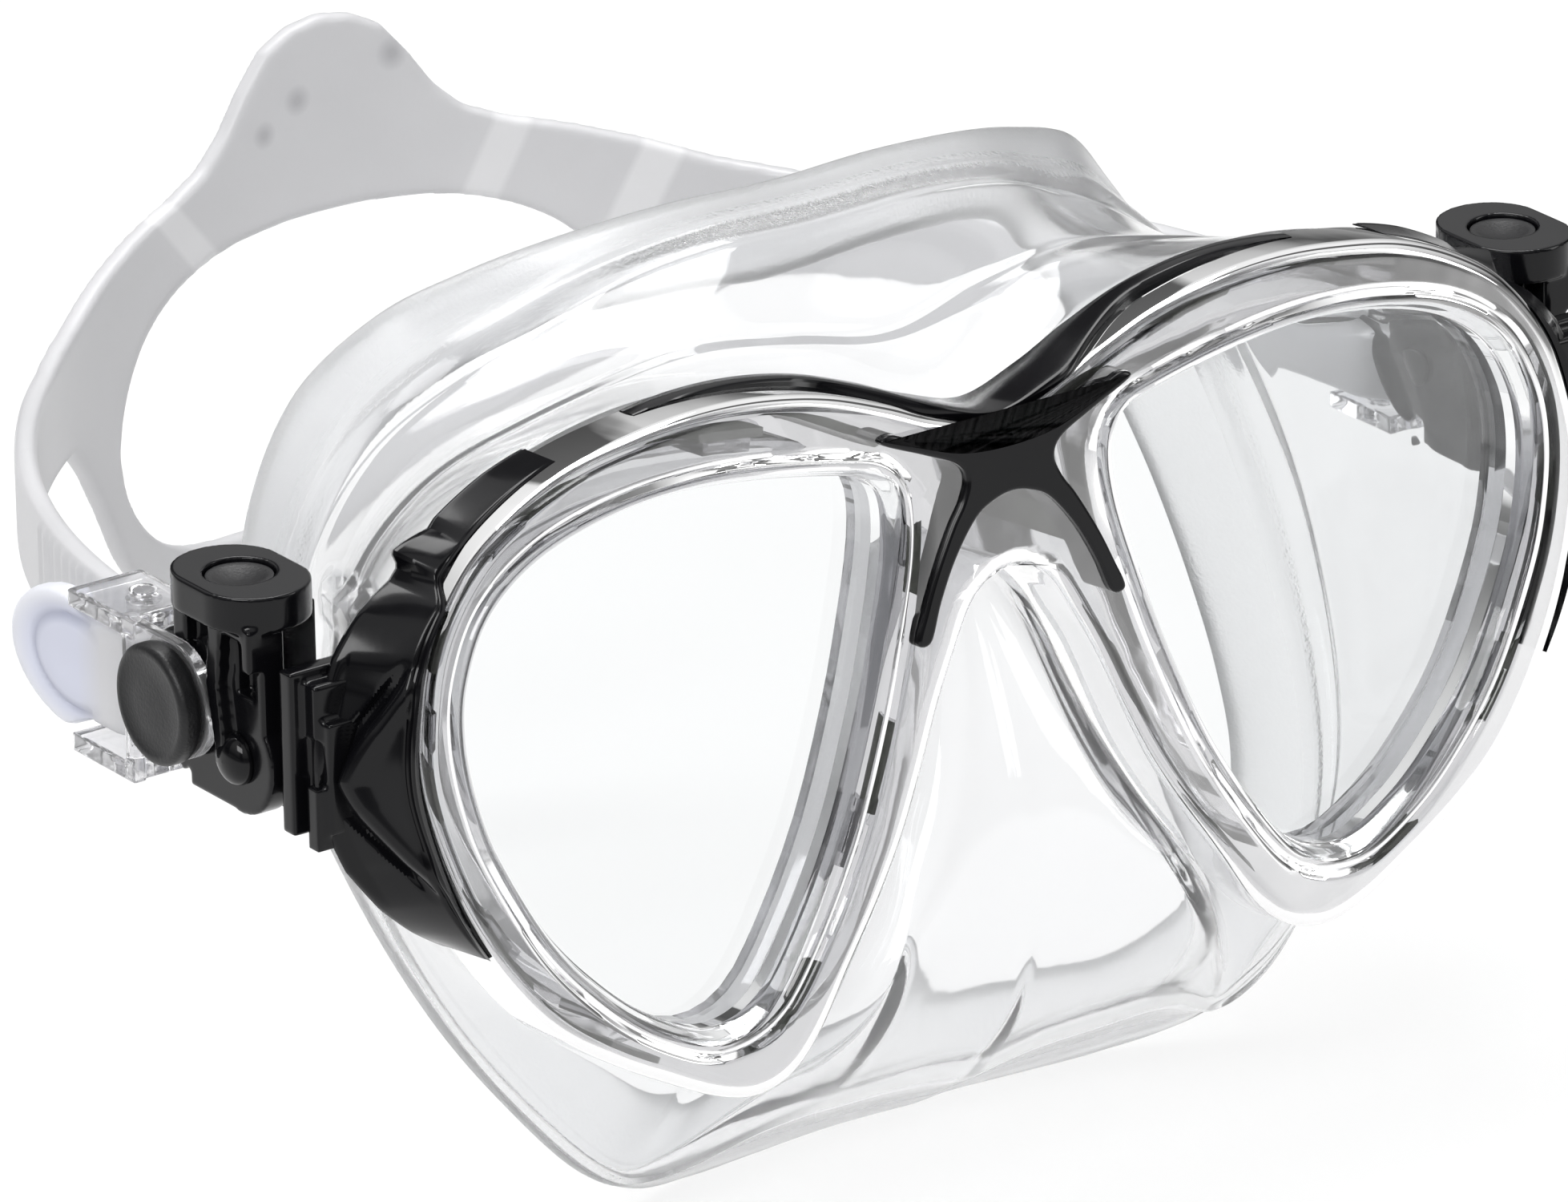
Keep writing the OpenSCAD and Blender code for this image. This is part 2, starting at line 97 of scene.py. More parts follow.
# %% Camera
AZIMUTH, ELEVATION, ROLL = math.radians(-36), math.radians(22), math.radians(0.716)
PAN, TILT = math.radians(0.813), math.radians(0.179)
DISTANCE, LENS = 1.6, 341.9
back = Vector((math.sin(AZIMUTH) * math.cos(ELEVATION), -math.cos(AZIMUTH) * math.cos(ELEVATION),
               math.sin(ELEVATION)))
right = Vector((math.cos(AZIMUTH), math.sin(AZIMUTH), 0))
turned = Matrix((right, back.cross(right), back)).transposed() @ Matrix.Rotation(-ROLL, 3, "Z")
camera = bpy.data.objects.new("camera", bpy.data.cameras.new("camera"))
bpy.context.scene.collection.objects.link(camera)
camera.data.lens = LENS
camera.data.clip_end = 50
camera.location = Vector(GLASS) + back * DISTANCE
aim = Matrix.Rotation(PAN, 3, "Y") @ Matrix.Rotation(TILT, 3, "X")
camera.rotation_mode = "QUATERNION"
camera.rotation_quaternion = (turned @ aim).to_quaternion()
bpy.context.scene.camera = camera
bpy.context.scene.view_settings.view_transform = "Standard"
print("camera at", [round(v, 3) for v in camera.location])

# %% [markdown]
# Clear plastic has no colour of its own: it shows what stands round it. So the studio is a
# bright one with a few dark cards. The pale floor glows a little, which keeps it even behind
# and under clear parts, and the dark cards in the world draw the grey lines along each edge.


# %% Node helpers
def new_material(name):
    made = bpy.data.materials.new(name)
    made.use_nodes = True
    return made, made.node_tree, made.node_tree.nodes["Principled BSDF"]


def add(tree, kind, values=(), **settings):
    """A node with its settings and some input values, by name or number."""
    node = tree.nodes.new(kind)
    for key, value in settings.items():
        setattr(node, key, value)
    for key, value in dict(values).items():
        node.inputs[key].default_value = value
    return node


def ramp(tree, source, *stops):
    """Maps a value to greys or colours: stops are (position, colour or grey)."""
    node = add(tree, "ShaderNodeValToRGB")
    while len(node.color_ramp.elements) < len(stops):
        node.color_ramp.elements.new(0.5)
    for element, (place, tone) in zip(node.color_ramp.elements, stops):
        element.position = place
        element.color = (*tone, 1) if isinstance(tone, tuple) else (tone, tone, tone, 1)
    tree.links.new(source, node.inputs["Fac"])
    return node.outputs["Color"]


def noise(tree, scale, detail=3.0, roughness=0.5, stretch=(1, 1, 1)):
    """Noise in the object's own coordinates, so it stays on the piece when it moves."""
    place = add(tree, "ShaderNodeTexCoord")
    mapping = add(tree, "ShaderNodeMapping", {"Scale": stretch})
    grain = add(tree, "ShaderNodeTexNoise", {"Scale": scale, "Detail": detail, "Roughness": roughness})
    tree.links.new(place.outputs["Object"], mapping.inputs["Vector"])
    tree.links.new(mapping.outputs["Vector"], grain.inputs["Vector"])
    return grain.outputs["Fac"]


def bump(tree, shader, height, strength, distance):
    node = add(tree, "ShaderNodeBump", {"Strength": strength, "Distance": distance})
    tree.links.new(height, node.inputs["Height"])
    tree.links.new(node.outputs["Normal"], shader.inputs["Normal"])


# %% Floor
def make_floor():
    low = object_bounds()[0]
    bpy.ops.mesh.primitive_plane_add(size=12, location=(0, 0, low.z))
    floor = bpy.context.object
    floor.name = "floor"
    paint, tree, shader = new_material("floor_paper")
    shader.inputs["Roughness"].default_value = 0.9
    shader.inputs["Specular IOR Level"].default_value = 0.1
    place = add(tree, "ShaderNodeTexCoord")
    far = add(tree, "ShaderNodeVectorMath", operation="LENGTH")
    tree.links.new(place.outputs["Object"], far.inputs[0])
    # The glow and the base colour both fade between 0.5 m and 0.9 m from the floor's middle: a painted fall-off of
    # light, so the far floor seen through clear parts reads grey.
    glow = ramp(tree, far.outputs["Value"], (0.5, 1.0), (0.9, 0.16))
    tree.links.new(ramp(tree, far.outputs["Value"], (0.5, 0.15), (0.9, 0.1)), shader.inputs["Base Color"])
    tree.links.new(glow, shader.inputs["Emission Color"])
    shader.inputs["Emission Strength"].default_value = 0.84
    floor.data.materials.append(paint)


make_floor()


# %% World and lights
def make_world():
    """A pale dome, darker towards the horizon, with upright dark cards all round."""
    world = bpy.data.worlds.new("studio")
    bpy.context.scene.world = world
    world.use_nodes = True
    tree = world.node_tree
    background = tree.nodes["Background"]
    place = add(tree, "ShaderNodeTexCoord")
    split = add(tree, "ShaderNodeSeparateXYZ")
    tree.links.new(place.outputs["Generated"], split.inputs["Vector"])
    height = ramp(tree, split.outputs["Z"], (0.0, 0.34), (0.14, 0.1), (0.3, 0.55), (0.62, 0.98))
    around = add(tree, "ShaderNodeMath", operation="ARCTAN2")
    tree.links.new(split.outputs["X"], around.inputs[0])
    tree.links.new(split.outputs["Y"], around.inputs[1])
    wave = add(tree, "ShaderNodeMath", {1: 5.0}, operation="MULTIPLY")
    tree.links.new(around.outputs[0], wave.inputs[0])
    sine = add(tree, "ShaderNodeMath", operation="SINE")
    tree.links.new(wave.outputs[0], sine.inputs[0])
    cards = ramp(tree, sine.outputs[0], (0.0, 1.0), (0.62, 0.95), (0.72, 0.14))
    both = add(tree, "ShaderNodeMix", {"Factor": 1.0}, data_type="RGBA", blend_type="MULTIPLY")
    tree.links.new(height, both.inputs["A"])
    tree.links.new(cards, both.inputs["B"])
    tree.links.new(both.outputs["Result"], background.inputs["Color"])
    background.inputs["Strength"].default_value = 0.9


def softbox(name, place, size, power):
    """A soft light that points at the middle of the glass."""
    lamp = bpy.data.objects.new(name, bpy.data.lights.new(name, "AREA"))
    bpy.context.scene.collection.objects.link(lamp)
    lamp.data.shape = "RECTANGLE"
    lamp.data.size, lamp.data.size_y = size
    lamp.data.energy = power
    lamp.location = place
    lamp.rotation_euler = (Vector(GLASS) - Vector(place)).to_track_quat("-Z", "Y").to_euler()


make_world()
softbox("key_left", (-0.9, -0.5, 0.9), (0.7, 0.5), 9)
softbox("top", (0.1, 0.35, 1.1), (0.9, 0.5), 10)
softbox("fill_right", (0.9, -0.9, 0.5), (0.3, 0.8), 3)

# %% [markdown]
# ## Finishes
# Clear polycarbonate, tempered glass and clear silicone differ in how much they bend light and
# in their surface: plastic has faint flow waves, glass is flat with a cool coating, and silicone
# is soft, a little milky and satin on its sealing edge. Each gets noise in its bump and
# roughness, because a perfectly even surface looks like computer plastic.


# %% Clear materials
def clear(name, colour, ior, rough, ripple, ripple_size, through=1.0, coat=0.0):
    """A see-through finish; rough is (least, most), ripple the depth of its waves in metres."""
    made, tree, shader = new_material(name)
    shader.inputs["Base Color"].default_value = (*colour, 1)
    shader.inputs["IOR"].default_value = ior
    shader.inputs["Transmission Weight"].default_value = through
    shader.inputs["Coat Weight"].default_value = coat
    waves = noise(tree, ripple_size, 2.0)
    tree.links.new(ramp(tree, waves, (0.35, rough[0]), (0.65, rough[1])), shader.inputs["Roughness"])
    bump(tree, shader, waves, 0.5, ripple)
    return made


def silicone(name, colour, through, wall_rough, seal_rough):
    """Silicone, glossy where the attribute satin is 0 and matt where it is 1."""
    made, tree, shader = new_material(name)
    shader.inputs["IOR"].default_value = 1.41
    shader.inputs["Transmission Weight"].default_value = through
    satin = add(tree, "ShaderNodeAttribute", attribute_name="satin")
    cloud = noise(tree, 40.0, 4.0)
    tone = ramp(tree, cloud, (0.3, tuple(c * 0.97 for c in colour)), (0.7, colour))
    tree.links.new(tone, shader.inputs["Base Color"])
    tree.links.new(ramp(tree, satin.outputs["Fac"], (0.0, wall_rough), (1.0, seal_rough)),
                   shader.inputs["Roughness"])
    fine = noise(tree, 2200.0, 2.0)
    grain = add(tree, "ShaderNodeMath", operation="MULTIPLY")
    tree.links.new(fine, grain.inputs[0])
    tree.links.new(satin.outputs["Fac"], grain.inputs[1])
    total = add(tree, "ShaderNodeMath", operation="ADD")
    tree.links.new(grain.outputs[0], total.inputs[0])
    tree.links.new(cloud, total.inputs[1])
    bump(tree, shader, total.outputs[0], 0.35, 0.0002)
    return made


# The frame's grey base colour is the plastic's faint grey plus painted shade, standing in for dark surroundings
# seen through it; the retainers share it.
frame_clear = clear("clear_polycarbonate", (0.64, 0.64, 0.655), 1.53, (0.01, 0.05), 0.00012, 90.0)
glass_clear = clear("tempered_glass", (0.905, 0.915, 0.918), 1.5, (0.0, 0.015), 0.00001, 20.0)
cage_clear = clear("clear_cage_plastic", (0.94, 0.94, 0.955), 1.5, (0.03, 0.1), 0.0002, 160.0, 0.94)
# A dark olive glass for the frame's inner slots: painted shade, standing in for the dark reflections seen in those
# slots.
painted_slot_shade = clear("painted_shade_slot", (0.1, 0.105, 0.09), 1.45, (0.1, 0.25), 0.0001, 300.0, 0.7)
skirt_clear = silicone("clear_silicone", (0.965, 0.97, 0.978), 0.93, 0.045, 0.3)


# %% Black and steel materials
def black(name, tone, rough, grain_size, grain_depth, shine, coat=0.0):
    """Moulded black plastic: gloss with faint flow marks, or satin with a fine spark-eroded grain."""
    made, tree, shader = new_material(name)
    flow = noise(tree, 70.0, 5.0, 0.6)
    tree.links.new(ramp(tree, flow, (0.3, tuple(c * 0.75 for c in tone)), (0.75, tone)),
                   shader.inputs["Base Color"])
    tree.links.new(ramp(tree, flow, (0.3, rough[0]), (0.7, rough[1])), shader.inputs["Roughness"])
    shader.inputs["Specular IOR Level"].default_value = shine
    shader.inputs["Coat Weight"].default_value = coat
    shader.inputs["Coat Roughness"].default_value = 0.08
    bump(tree, shader, noise(tree, grain_size, 3.0), 0.4, grain_depth)
    return made


def brushed_steel():
    made, tree, shader = new_material("stainless_steel")
    shader.inputs["Metallic"].default_value = 1.0
    lines = noise(tree, 500.0, 3.0, 0.6, (1, 1, 12))
    tree.links.new(ramp(tree, lines, (0.3, (0.5, 0.5, 0.52)), (0.7, (0.68, 0.68, 0.7))),
                   shader.inputs["Base Color"])
    tree.links.new(ramp(tree, lines, (0.3, 0.18), (0.7, 0.34)), shader.inputs["Roughness"])
    bump(tree, shader, lines, 0.3, 0.00002)
    return made


gloss_black = black("gloss_black", (0.004, 0.004, 0.005), (0.1, 0.24), 400.0, 0.00002, 0.2, 0.12)
satin_black = black("satin_black", (0.011, 0.011, 0.012), (0.34, 0.5), 2600.0, 0.00012, 0.35)
steel = brushed_steel()
print(len(bpy.data.materials), "materials")

# %% [markdown]
# ## Outlines
# The mask's outlines are closed smooth curves through a few points, the same ones as in the CAD
# source. A Catmull-Rom curve passes through every point, so an outline is easy to read and to
# change. `whole` mirrors a half outline, and `shifted` moves one sideways, as an offset tool does.

# %% Outlines in mm, as [x, z] from the middle of the glass
RIM_HALF = [[0, 26.5], [8, 28.7], [14.5, 31.5], [22, 34.2], [30, 35.8], [38, 36.3], [46, 35.7],
            [55, 34], [63, 30.5], [69, 26], [74, 18.8], [76.3, 11], [77, 4], [75.5, -4],
            [72.5, -12.5], [68, -20.5], [62.5, -27.2], [56, -32], [49, -36], [43, -39],
            [38, -40.2], [33.5, -39], [29.5, -35.5], [25, -29.3], [20.5, -22.8], [16.5, -16],
            [13.3, -9], [10.6, -2.6], [8.3, 2], [5.5, 7], [2.8, 9.3], [0, 9.9]]
EYE_HOLE = [[20.5, 24.4], [30, 26.2], [40, 27.2], [50, 26.7], [59.5, 24.3], [66, 20], [69.3, 14],
            [70.2, 8], [69.3, 1], [67, -6], [61.5, -16.4], [55, -24], [49, -28.8], [42.3, -31.8],
            [36, -30.2], [30.5, -23.6], [24.8, -13.8], [20.2, -2.5], [17.2, 7], [15.2, 15],
            [15, 20.5], [16.8, 23.2]]


def smooth(points, steps):
    """A closed Catmull-Rom curve with this many steps between its points."""
    p = np.asarray(points, float)
    a, b, c, d = np.roll(p, 1, 0), p, np.roll(p, -1, 0), np.roll(p, -2, 0)
    rows = [0.5 * (2 * b + (c - a) * t + (2 * a - 5 * b + 4 * c - d) * t * t
                   + (3 * b - a - 3 * c + d) * t ** 3) for t in np.arange(steps) / steps]
    return np.stack(rows, 1).reshape(-1, p.shape[1])


def whole(half):
    return np.array(list(half) + [[-p[0], *p[1:]] for p in half[-2:0:-1]], float)


def shifted(outline, distance):
    """The outline moved inwards by this distance (it runs clockwise), or outwards if negative."""
    along = np.roll(outline, -1, 0) - np.roll(outline, 1, 0)
    normal = np.stack([along[:, 1], -along[:, 0]], 1) / np.linalg.norm(along, axis=1)[:, None]
    return outline + distance * normal


def away(points, outline, closed=True):
    """Distance from each point to an outline."""
    ends = np.roll(outline, -1, 0) if closed else outline[1:]
    starts = outline if closed else outline[:-1]
    d = ends - starts
    best = np.full(points.shape[:-1], 1e9)
    for a, v in zip(starts, d):
        t = np.clip(((points - a) @ v) / (v @ v), 0, 1)
        best = np.minimum(best, np.linalg.norm(points - a - t[..., None] * v, axis=-1))
    return best


STEPS = 10
rim = smooth(whole(RIM_HALF), STEPS)
eye = smooth(EYE_HOLE, STEPS)
print("rim", len(rim), "points,", "lens hole", np.ptp(eye, 0).round(1), "mm")


# %% Mesh helpers
def grid_faces(rows, columns, wrap_rows=False, wrap_columns=True):
    """Quads between rows of points; either way can close on itself."""
    i, j = np.meshgrid(np.arange(rows if wrap_rows else rows - 1),
                       np.arange(columns if wrap_columns else columns - 1), indexing="ij")
    a, b = i * columns + j, i * columns + (j + 1) % columns
    c, d = ((i + 1) % rows) * columns + (j + 1) % columns, ((i + 1) % rows) * columns + j
    return np.stack([a, b, c, d], -1).reshape(-1, 4).tolist()


def finish_piece(made, materials, body, stands_for=(), sharp=35):
    """Smooth shading with sharp edges kept, finishes, and what the piece rides on."""
    for material in materials:
        made.data.materials.append(material)
    made.data.shade_smooth()
    made.data.set_sharp_from_angle(angle=math.radians(sharp))
    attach(made, body)
    if stands_for:
        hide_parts(*stands_for)
    print(made.name, len(made.data.vertices), "points")
    return made


def new_piece(name, points, faces, flip=False):
    mesh = bpy.data.meshes.new(name)
    mesh.from_pydata(np.asarray(points, float).reshape(-1, 3).tolist(), [], faces)
    built = bmesh.new()
    built.from_mesh(mesh)
    bmesh.ops.remove_doubles(built, verts=built.verts, dist=2e-6)
    bmesh.ops.delete(built, geom=[v for v in built.verts if not v.link_faces], context="VERTS")
    if flip:
        bmesh.ops.reverse_faces(built, faces=built.faces)
    built.to_mesh(mesh)
    built.free()
    made = bpy.data.objects.new(name, mesh)
    bpy.context.scene.collection.objects.link(made)
    return made


# %% [markdown]
# ## Clear front frame
# The real frame is one moulding with a bevel down to the glass, a flat land, a groove and a
# rounded outer edge. It could be a solid cut with booleans and bevelled, but bevels fail where
# the two rims meet at the nose. So each half is a loft of rays from the middle of a lens: the
# height at a point depends only on how far it is from the lens hole and from the outer edge,
# which is how a mould is cut. The halves then join on the midline.

# %% Front frame section
RIM_FRONT, RIM_BACK, GLASS_LAP = 5.0, 3.5, 1.75
EDGE_ROUND = 1.7
CENTRE = np.array([44.0, 5.0])
INNER_STEPS = [0, 0.2, 0.45, 0.75, 1.1, 1.4, 1.8, 2.15, 2.4, 2.65, 2.9, 3.15, 3.5]
OUTER_STEPS = [1.9, 1.5, 1.1, 0.75, 0.45, 0.2, 0.05, 0]


def ease(x):
    t = np.clip(x, 0, 1)
    return t * t * (3 - 2 * t)


def front_height(inner, outer):
    """Depth of the front face: bevel by the glass, land, groove and rounded outer edge."""
    y = -RIM_FRONT + 3.3 * (1 - ease(inner / 1.5)) ** 1.3
    y = y + 0.75 * np.exp(-((inner - 2.65) / 0.32) ** 2)
    near = np.clip(1 - outer / EDGE_ROUND, 0, 1)
    return y + EDGE_ROUND * (1 - np.sqrt(1 - near ** 2))


def ray_reach(outline, angles):
    """How far an outline lies from the lens middle along each angle."""
    d = outline - CENTRE
    a = np.mod(np.arctan2(d[:, 1], d[:, 0]), 2 * math.pi)
    order = np.argsort(a)
    return np.interp(angles, a[order], np.linalg.norm(d, axis=1)[order], period=2 * math.pi)


# %% Build the front frame
def frame_half(side):
    last = (len(RIM_HALF) - 1) * STEPS
    half_rim = rim[:last + 1]
    seam = np.stack([np.zeros(14), np.linspace(9.9, 26.5, 16)[1:-1]], 1)
    loop = np.concatenate([half_rim, seam])
    corner = np.mod(np.arctan2(loop[[0, last], 1] - CENTRE[1], -CENTRE[0]), 2 * math.pi)
    angles = np.unique(np.concatenate([np.linspace(0, 2 * math.pi, 300, endpoint=False), corner]).round(7))
    r_eye, r_rim = ray_reach(eye, angles), ray_reach(loop, angles)
    on_seam = (angles > corner[0] + 1e-6) & (angles < corner[1] - 1e-6)
    touching = (angles > corner[0] - 1e-6) & (angles < corner[1] + 1e-6)
    way = np.stack([np.cos(angles), np.sin(angles)], 1)
    rows = [r_eye + s for s in INNER_STEPS]
    for share in np.linspace(0, 1, 10)[1:-1]:
        rows.append((r_eye + INNER_STEPS[-1]) * (1 - share) + (r_rim - OUTER_STEPS[0]) * share)
    rows += [r_rim - s for s in OUTER_STEPS]
    flat = CENTRE + np.stack(rows)[..., None] * way
    y = front_height(away(flat, eye), away(flat, rim))
    front = np.stack([flat[..., 0], y, flat[..., 1]], -1)
    front[-1, touching, 0] = 0

    def ring(reach, depth):
        p = CENTRE + reach[:, None] * way
        return np.stack([np.where(touching & (reach > r_rim - 1e-9), 0, p[:, 0]),
                         np.full(len(angles), depth), p[:, 1]], -1)

    inset = np.where(touching, 0, 0.3)
    rings = [ring(r_rim, RIM_BACK - 0.3), ring(r_rim - inset, RIM_BACK), ring(r_eye + 4, RIM_BACK),
             ring(r_eye + GLASS_LAP, RIM_BACK), ring(r_eye + GLASS_LAP, 0), ring(r_eye, 0)]
    points = np.concatenate([front, np.stack(rings)])
    count, across = points.shape[:2]
    faces = grid_faces(count, across, wrap_rows=True)
    wall_rows = (len(front) - 1, len(front))
    faces = [f for f in faces if not (f[0] // across in wall_rows
             and (on_seam[f[0] % across] or on_seam[f[1] % across]))]
    points[..., 0] *= side
    if side < 0:
        faces = [f[::-1] for f in faces]
    return points.reshape(-1, 3), faces


def slot_box(outline, first, last, gap, half, depths, side):
    """A closed void in the moulding, from first to last place of the lens hole, gap mm outside it."""
    path = shifted(outline, -gap)[first:last + 1]
    step = np.gradient(path, axis=0)
    normal = np.stack([step[:, 1], -step[:, 0]], 1) / np.linalg.norm(step, axis=1)[:, None]
    ring = [(-half, depths[0]), (half, depths[0]), (half, depths[1]), (-half, depths[1])]
    points = np.array([[[q[0] + o * n[0], d, q[1] + o * n[1]] for o, d in ring] for q, n in zip(path, normal)])
    points[..., 0] *= side
    faces = grid_faces(len(points), 4) + [[0, 1, 2, 3], [len(points) * 4 - k for k in (1, 2, 3, 4)]]
    return points.reshape(-1, 3), [f if side > 0 else f[::-1] for f in faces]


CLIP_PLACES = [3, 12, 21, 30, 39, 48, 57]
clip_rows = [round(i * STEPS / 3) for i in CLIP_PLACES]


def build_frame():
    points, faces, shaded = [], [], []
    total = 0

    def take(part, is_shaded=False):
        nonlocal total
        points.append(part[0])
        faces.extend([[v + total for v in f] for f in part[1]])
        shaded.extend([is_shaded] * len(part[1]))
        total += len(part[0])

    for side in (1, -1):
        take(frame_half(side))
        for row in clip_rows:
            take(slot_box(eye, row - 3, row + 3, 2.4, 0.75, (-2.0, RIM_BACK - 0.1), side))
        # These longer slot boxes take the dark glass above: painted shade in dashes along the lens hole.
        for row in range(8, len(eye) - 10, 22):
            take(slot_box(eye, row, row + 8, 4.6, 0.5, (-3.2, 2.9), side), True)
    made = new_piece("clear_frame", level(leaned(np.concatenate(points))), faces)
    made.data.polygons.foreach_set("material_index", np.array(shaded, dtype=np.int32))
    return made


clear_frame = build_frame()
finish_piece(clear_frame, [frame_clear, painted_slot_shade], "mask", ["front_frame"], 40)

# %% [markdown]
# ## Silicone skirt
# The skirt is one soft moulding, 2 mm thick, from the rim of the frame to a broad edge that
# seals on the face. It is lofted like a lampshade: each line runs from a point behind the rim to
# a point on the seal, as a Bezier curve. Under the bridge the curve first runs forward and down,
# which makes the nose pocket. The inner face is offset square to the outer one, so the wall
# refracts light as a real wall does.

# %% Skirt outlines as [x, z], with the seal's as [x, z, depth], and the seal's section as [in, back]
SKIRT_FRONT = [[0, 26.5], [12, 30.4], [25, 34.9], [38, 36.3], [50, 35], [62, 31], [71.5, 23],
               [76.3, 11], [76.5, -1], [73, -11.5], [67, -22], [58, -30.7], [49, -36],
               [38, -40.2], [29.5, -35.5], [20.5, -22.8], [13.3, -9], [7, 4.5], [0, 9.9]]
SKIRT_SEAL = [[0, 41.8, 40], [14, 42, 40.5], [27, 40.8, 42], [37, 38.2, 45], [46, 34.5, 48],
              [54, 26.5, 52], [60.5, 16.5, 51.5], [63.8, 6, 49.5], [64.8, -5, 43], [64, -16, 35.5],
              [62, -27, 28], [58.5, -37, 21.5], [53, -46, 17], [45.5, -54.5, 15.5],
              [37, -59.5, 17], [28, -61.4, 19.5], [19, -61.9, 21], [9, -62, 22], [0, -62, 22]]
SEAL_SECTION = [[0.15, 0.8], [0.6, 1.5], [1.6, 2.1], [3.5, 2.5], [6, 2.6], [8.5, 2.4], [10.3, 2.0],
                [11.5, 1.6], [12, 1.2], [11.6, 0.85], [10, 0.75], [8, 0.8], [6, 0.85], [4, 0.7], [2.8, 0.3]]
WALL = 2.0
SKIRT_STEPS = 9
front_loop = smooth(whole(SKIRT_FRONT), SKIRT_STEPS)
seal_loop = smooth(whole(SKIRT_SEAL), SKIRT_STEPS)
lines = len(front_loop)
rise = np.abs(np.arange(lines) - lines / 2) / (lines / 2)
sides = np.where(np.arange(lines) < lines / 2, 1.0, -1.0)
pocket = (1 - ease((rise - 0.13) / 0.13))[:, None]


def wall_curves():
    """The four control points of each line of the wall."""
    waist = np.exp(-((rise - 0.78) / 0.11) ** 2)[:, None]
    behind_rim = (1 - waist) * shifted(front_loop, 1.0) + waist * shifted(front_loop, 0.5)
    begin = (1 - pocket) * behind_rim + pocket * shifted(front_loop, -0.4)
    a = leaned(np.stack([begin[:, 0], np.full(lines, RIM_BACK + 0.12), begin[:, 1]], -1))
    e = seal_loop[:, [0, 2, 1]]
    none = np.zeros(lines)
    down = np.stack([none, none - 11, -20 * (1 - 4 * rise)], -1)
    floor = np.stack([none, none - 44, 20 + 70 * rise], -1)
    back = (1 - pocket) * (e - a) * [0, 1, 0]
    middle = (np.array([0, -10]) - seal_loop[:, :2])[:, [0, 0, 1]] * [1, 0, 1]
    drawn_in = waist * middle / np.linalg.norm(middle, axis=1)[:, None]
    b = a + 0.4 * back + 5 * drawn_in + pocket * down
    c = e - 0.5 * back + 13 * drawn_in + pocket * floor
    return a, b, c, e


def bump_at(value, middle, width, height):
    return height * np.exp(-((value - middle) / width) ** 2)


def relief(t):
    """Height in mm of the moulded lines on the outer face: rows along t, columns round the mask."""
    t = t[:, None]
    r, n = rise[None, :], pocket[:, 0][None, :]
    top = ease((r - 0.45) / 0.15)
    h = bump_at(t, 0.03, 0.03, 0.5) * (1 - n)
    h = h + top * (bump_at(t, 0.86, 0.02, 0.5) - bump_at(t, 0.8, 0.02, 0.3) + bump_at(t, 0.4, 0.03, 0.35))
    rib = bump_at(r, 0.64, 0.008, 1.1) * ease((t - 0.12) / 0.1) * ease((0.72 - t) / 0.1)
    fold = (1 - top) * (bump_at(t, 0.84, 0.02, 0.5) - bump_at(t, 0.9, 0.03, 0.35))
    return h + rib + fold


def wall_faces(t):
    """Outer and inner face of the wall at these steps from rim to seal."""
    a, b, c, e = wall_curves()
    k = t[:, None, None]
    outer = (1 - k) ** 3 * a + 3 * k * (1 - k) ** 2 * b + 3 * k * k * (1 - k) * c + k ** 3 * e
    along = np.gradient(outer, axis=0)
    around = np.roll(outer, -1, 1) - np.roll(outer, 1, 1)
    inwards = np.cross(along, around)
    inwards /= np.linalg.norm(inwards, axis=2)[..., None]
    inner = outer + WALL * inwards
    return outer - relief(t)[..., None] * inwards, inner


def build_skirt():
    t = np.linspace(0, 1, 61)
    outer, inner = wall_faces(t)
    to_middle = np.array([0, -10]) - seal_loop[:, :2]
    to_middle /= np.linalg.norm(to_middle, axis=1)[:, None]
    x, z = to_middle.T
    seal = [seal_loop[:, [0, 2, 1]] + np.stack([g * x, y + 0 * x, g * z], -1) for g, y in SEAL_SECTION]
    rows = np.concatenate([outer, np.stack(seal), inner[::-1]])
    matt = np.concatenate([ease((t - 0.8) / 0.15), np.ones(len(seal)), ease((t[::-1] - 0.8) / 0.15)])
    mesh = bpy.data.meshes.new("silicone_skirt")
    mesh.from_pydata(level(rows).reshape(-1, 3).tolist(), [], grid_faces(len(rows), lines, wrap_rows=True))
    satin = mesh.attributes.new("satin", "FLOAT", "POINT")
    satin.data.foreach_set("value", np.repeat(matt, lines).astype(np.float32))
    made = bpy.data.objects.new("silicone_skirt", mesh)
    bpy.context.scene.collection.objects.link(made)
    return made


skirt = finish_piece(build_skirt(), [skirt_clear], "mask", ["skirt"], 60)

# %% [markdown]
# ## Split strap
# The strap is cut here as it would be from a mould drawing: flat first, with its split for the
# back of the head and its two leaf-shaped pull tabs, and then wrapped along its path. A filled
# curve gives the flat shape with its hole, a fine voxel remesh turns it into an even skin that
# can bend, and every point is then carried round the head, round a roller and into the tail.

# %% Strap outline, flat, in mm: along the strap and up
HALF_WIDTH, REACH, ROLLER_Y, STRAP_Z = 79.0, 89.0, 40.0, 5.0
STRAP_T, STRAP_W = 2.6, 12.0
ROLLER_X = HALF_WIDTH + STRAP_T / 2 + 0.3 + 2.0
TAIL_X = ROLLER_X + 2.0 + 0.3 + STRAP_T / 2
TURN = TAIL_X - ROLLER_X
LEAF_Y, LEAF_LEN, LEAF_HALF = 46.0, 13.0, 8.2
CRADLE_TOP = [[0, 36.2], [4, 35.6], [8, 33.6], [11.5, 29.5], [14.5, 25.2], [18, 22], [23, 20],
              [30, 18.2], [37, 16], [44, 13.4], [52, 11.6]]
CRADLE_LOW = [[46, -1], [42, -6], [38.5, -12], [35, -19], [30, -26], [23, -31.5], [13, -35], [0, -36]]
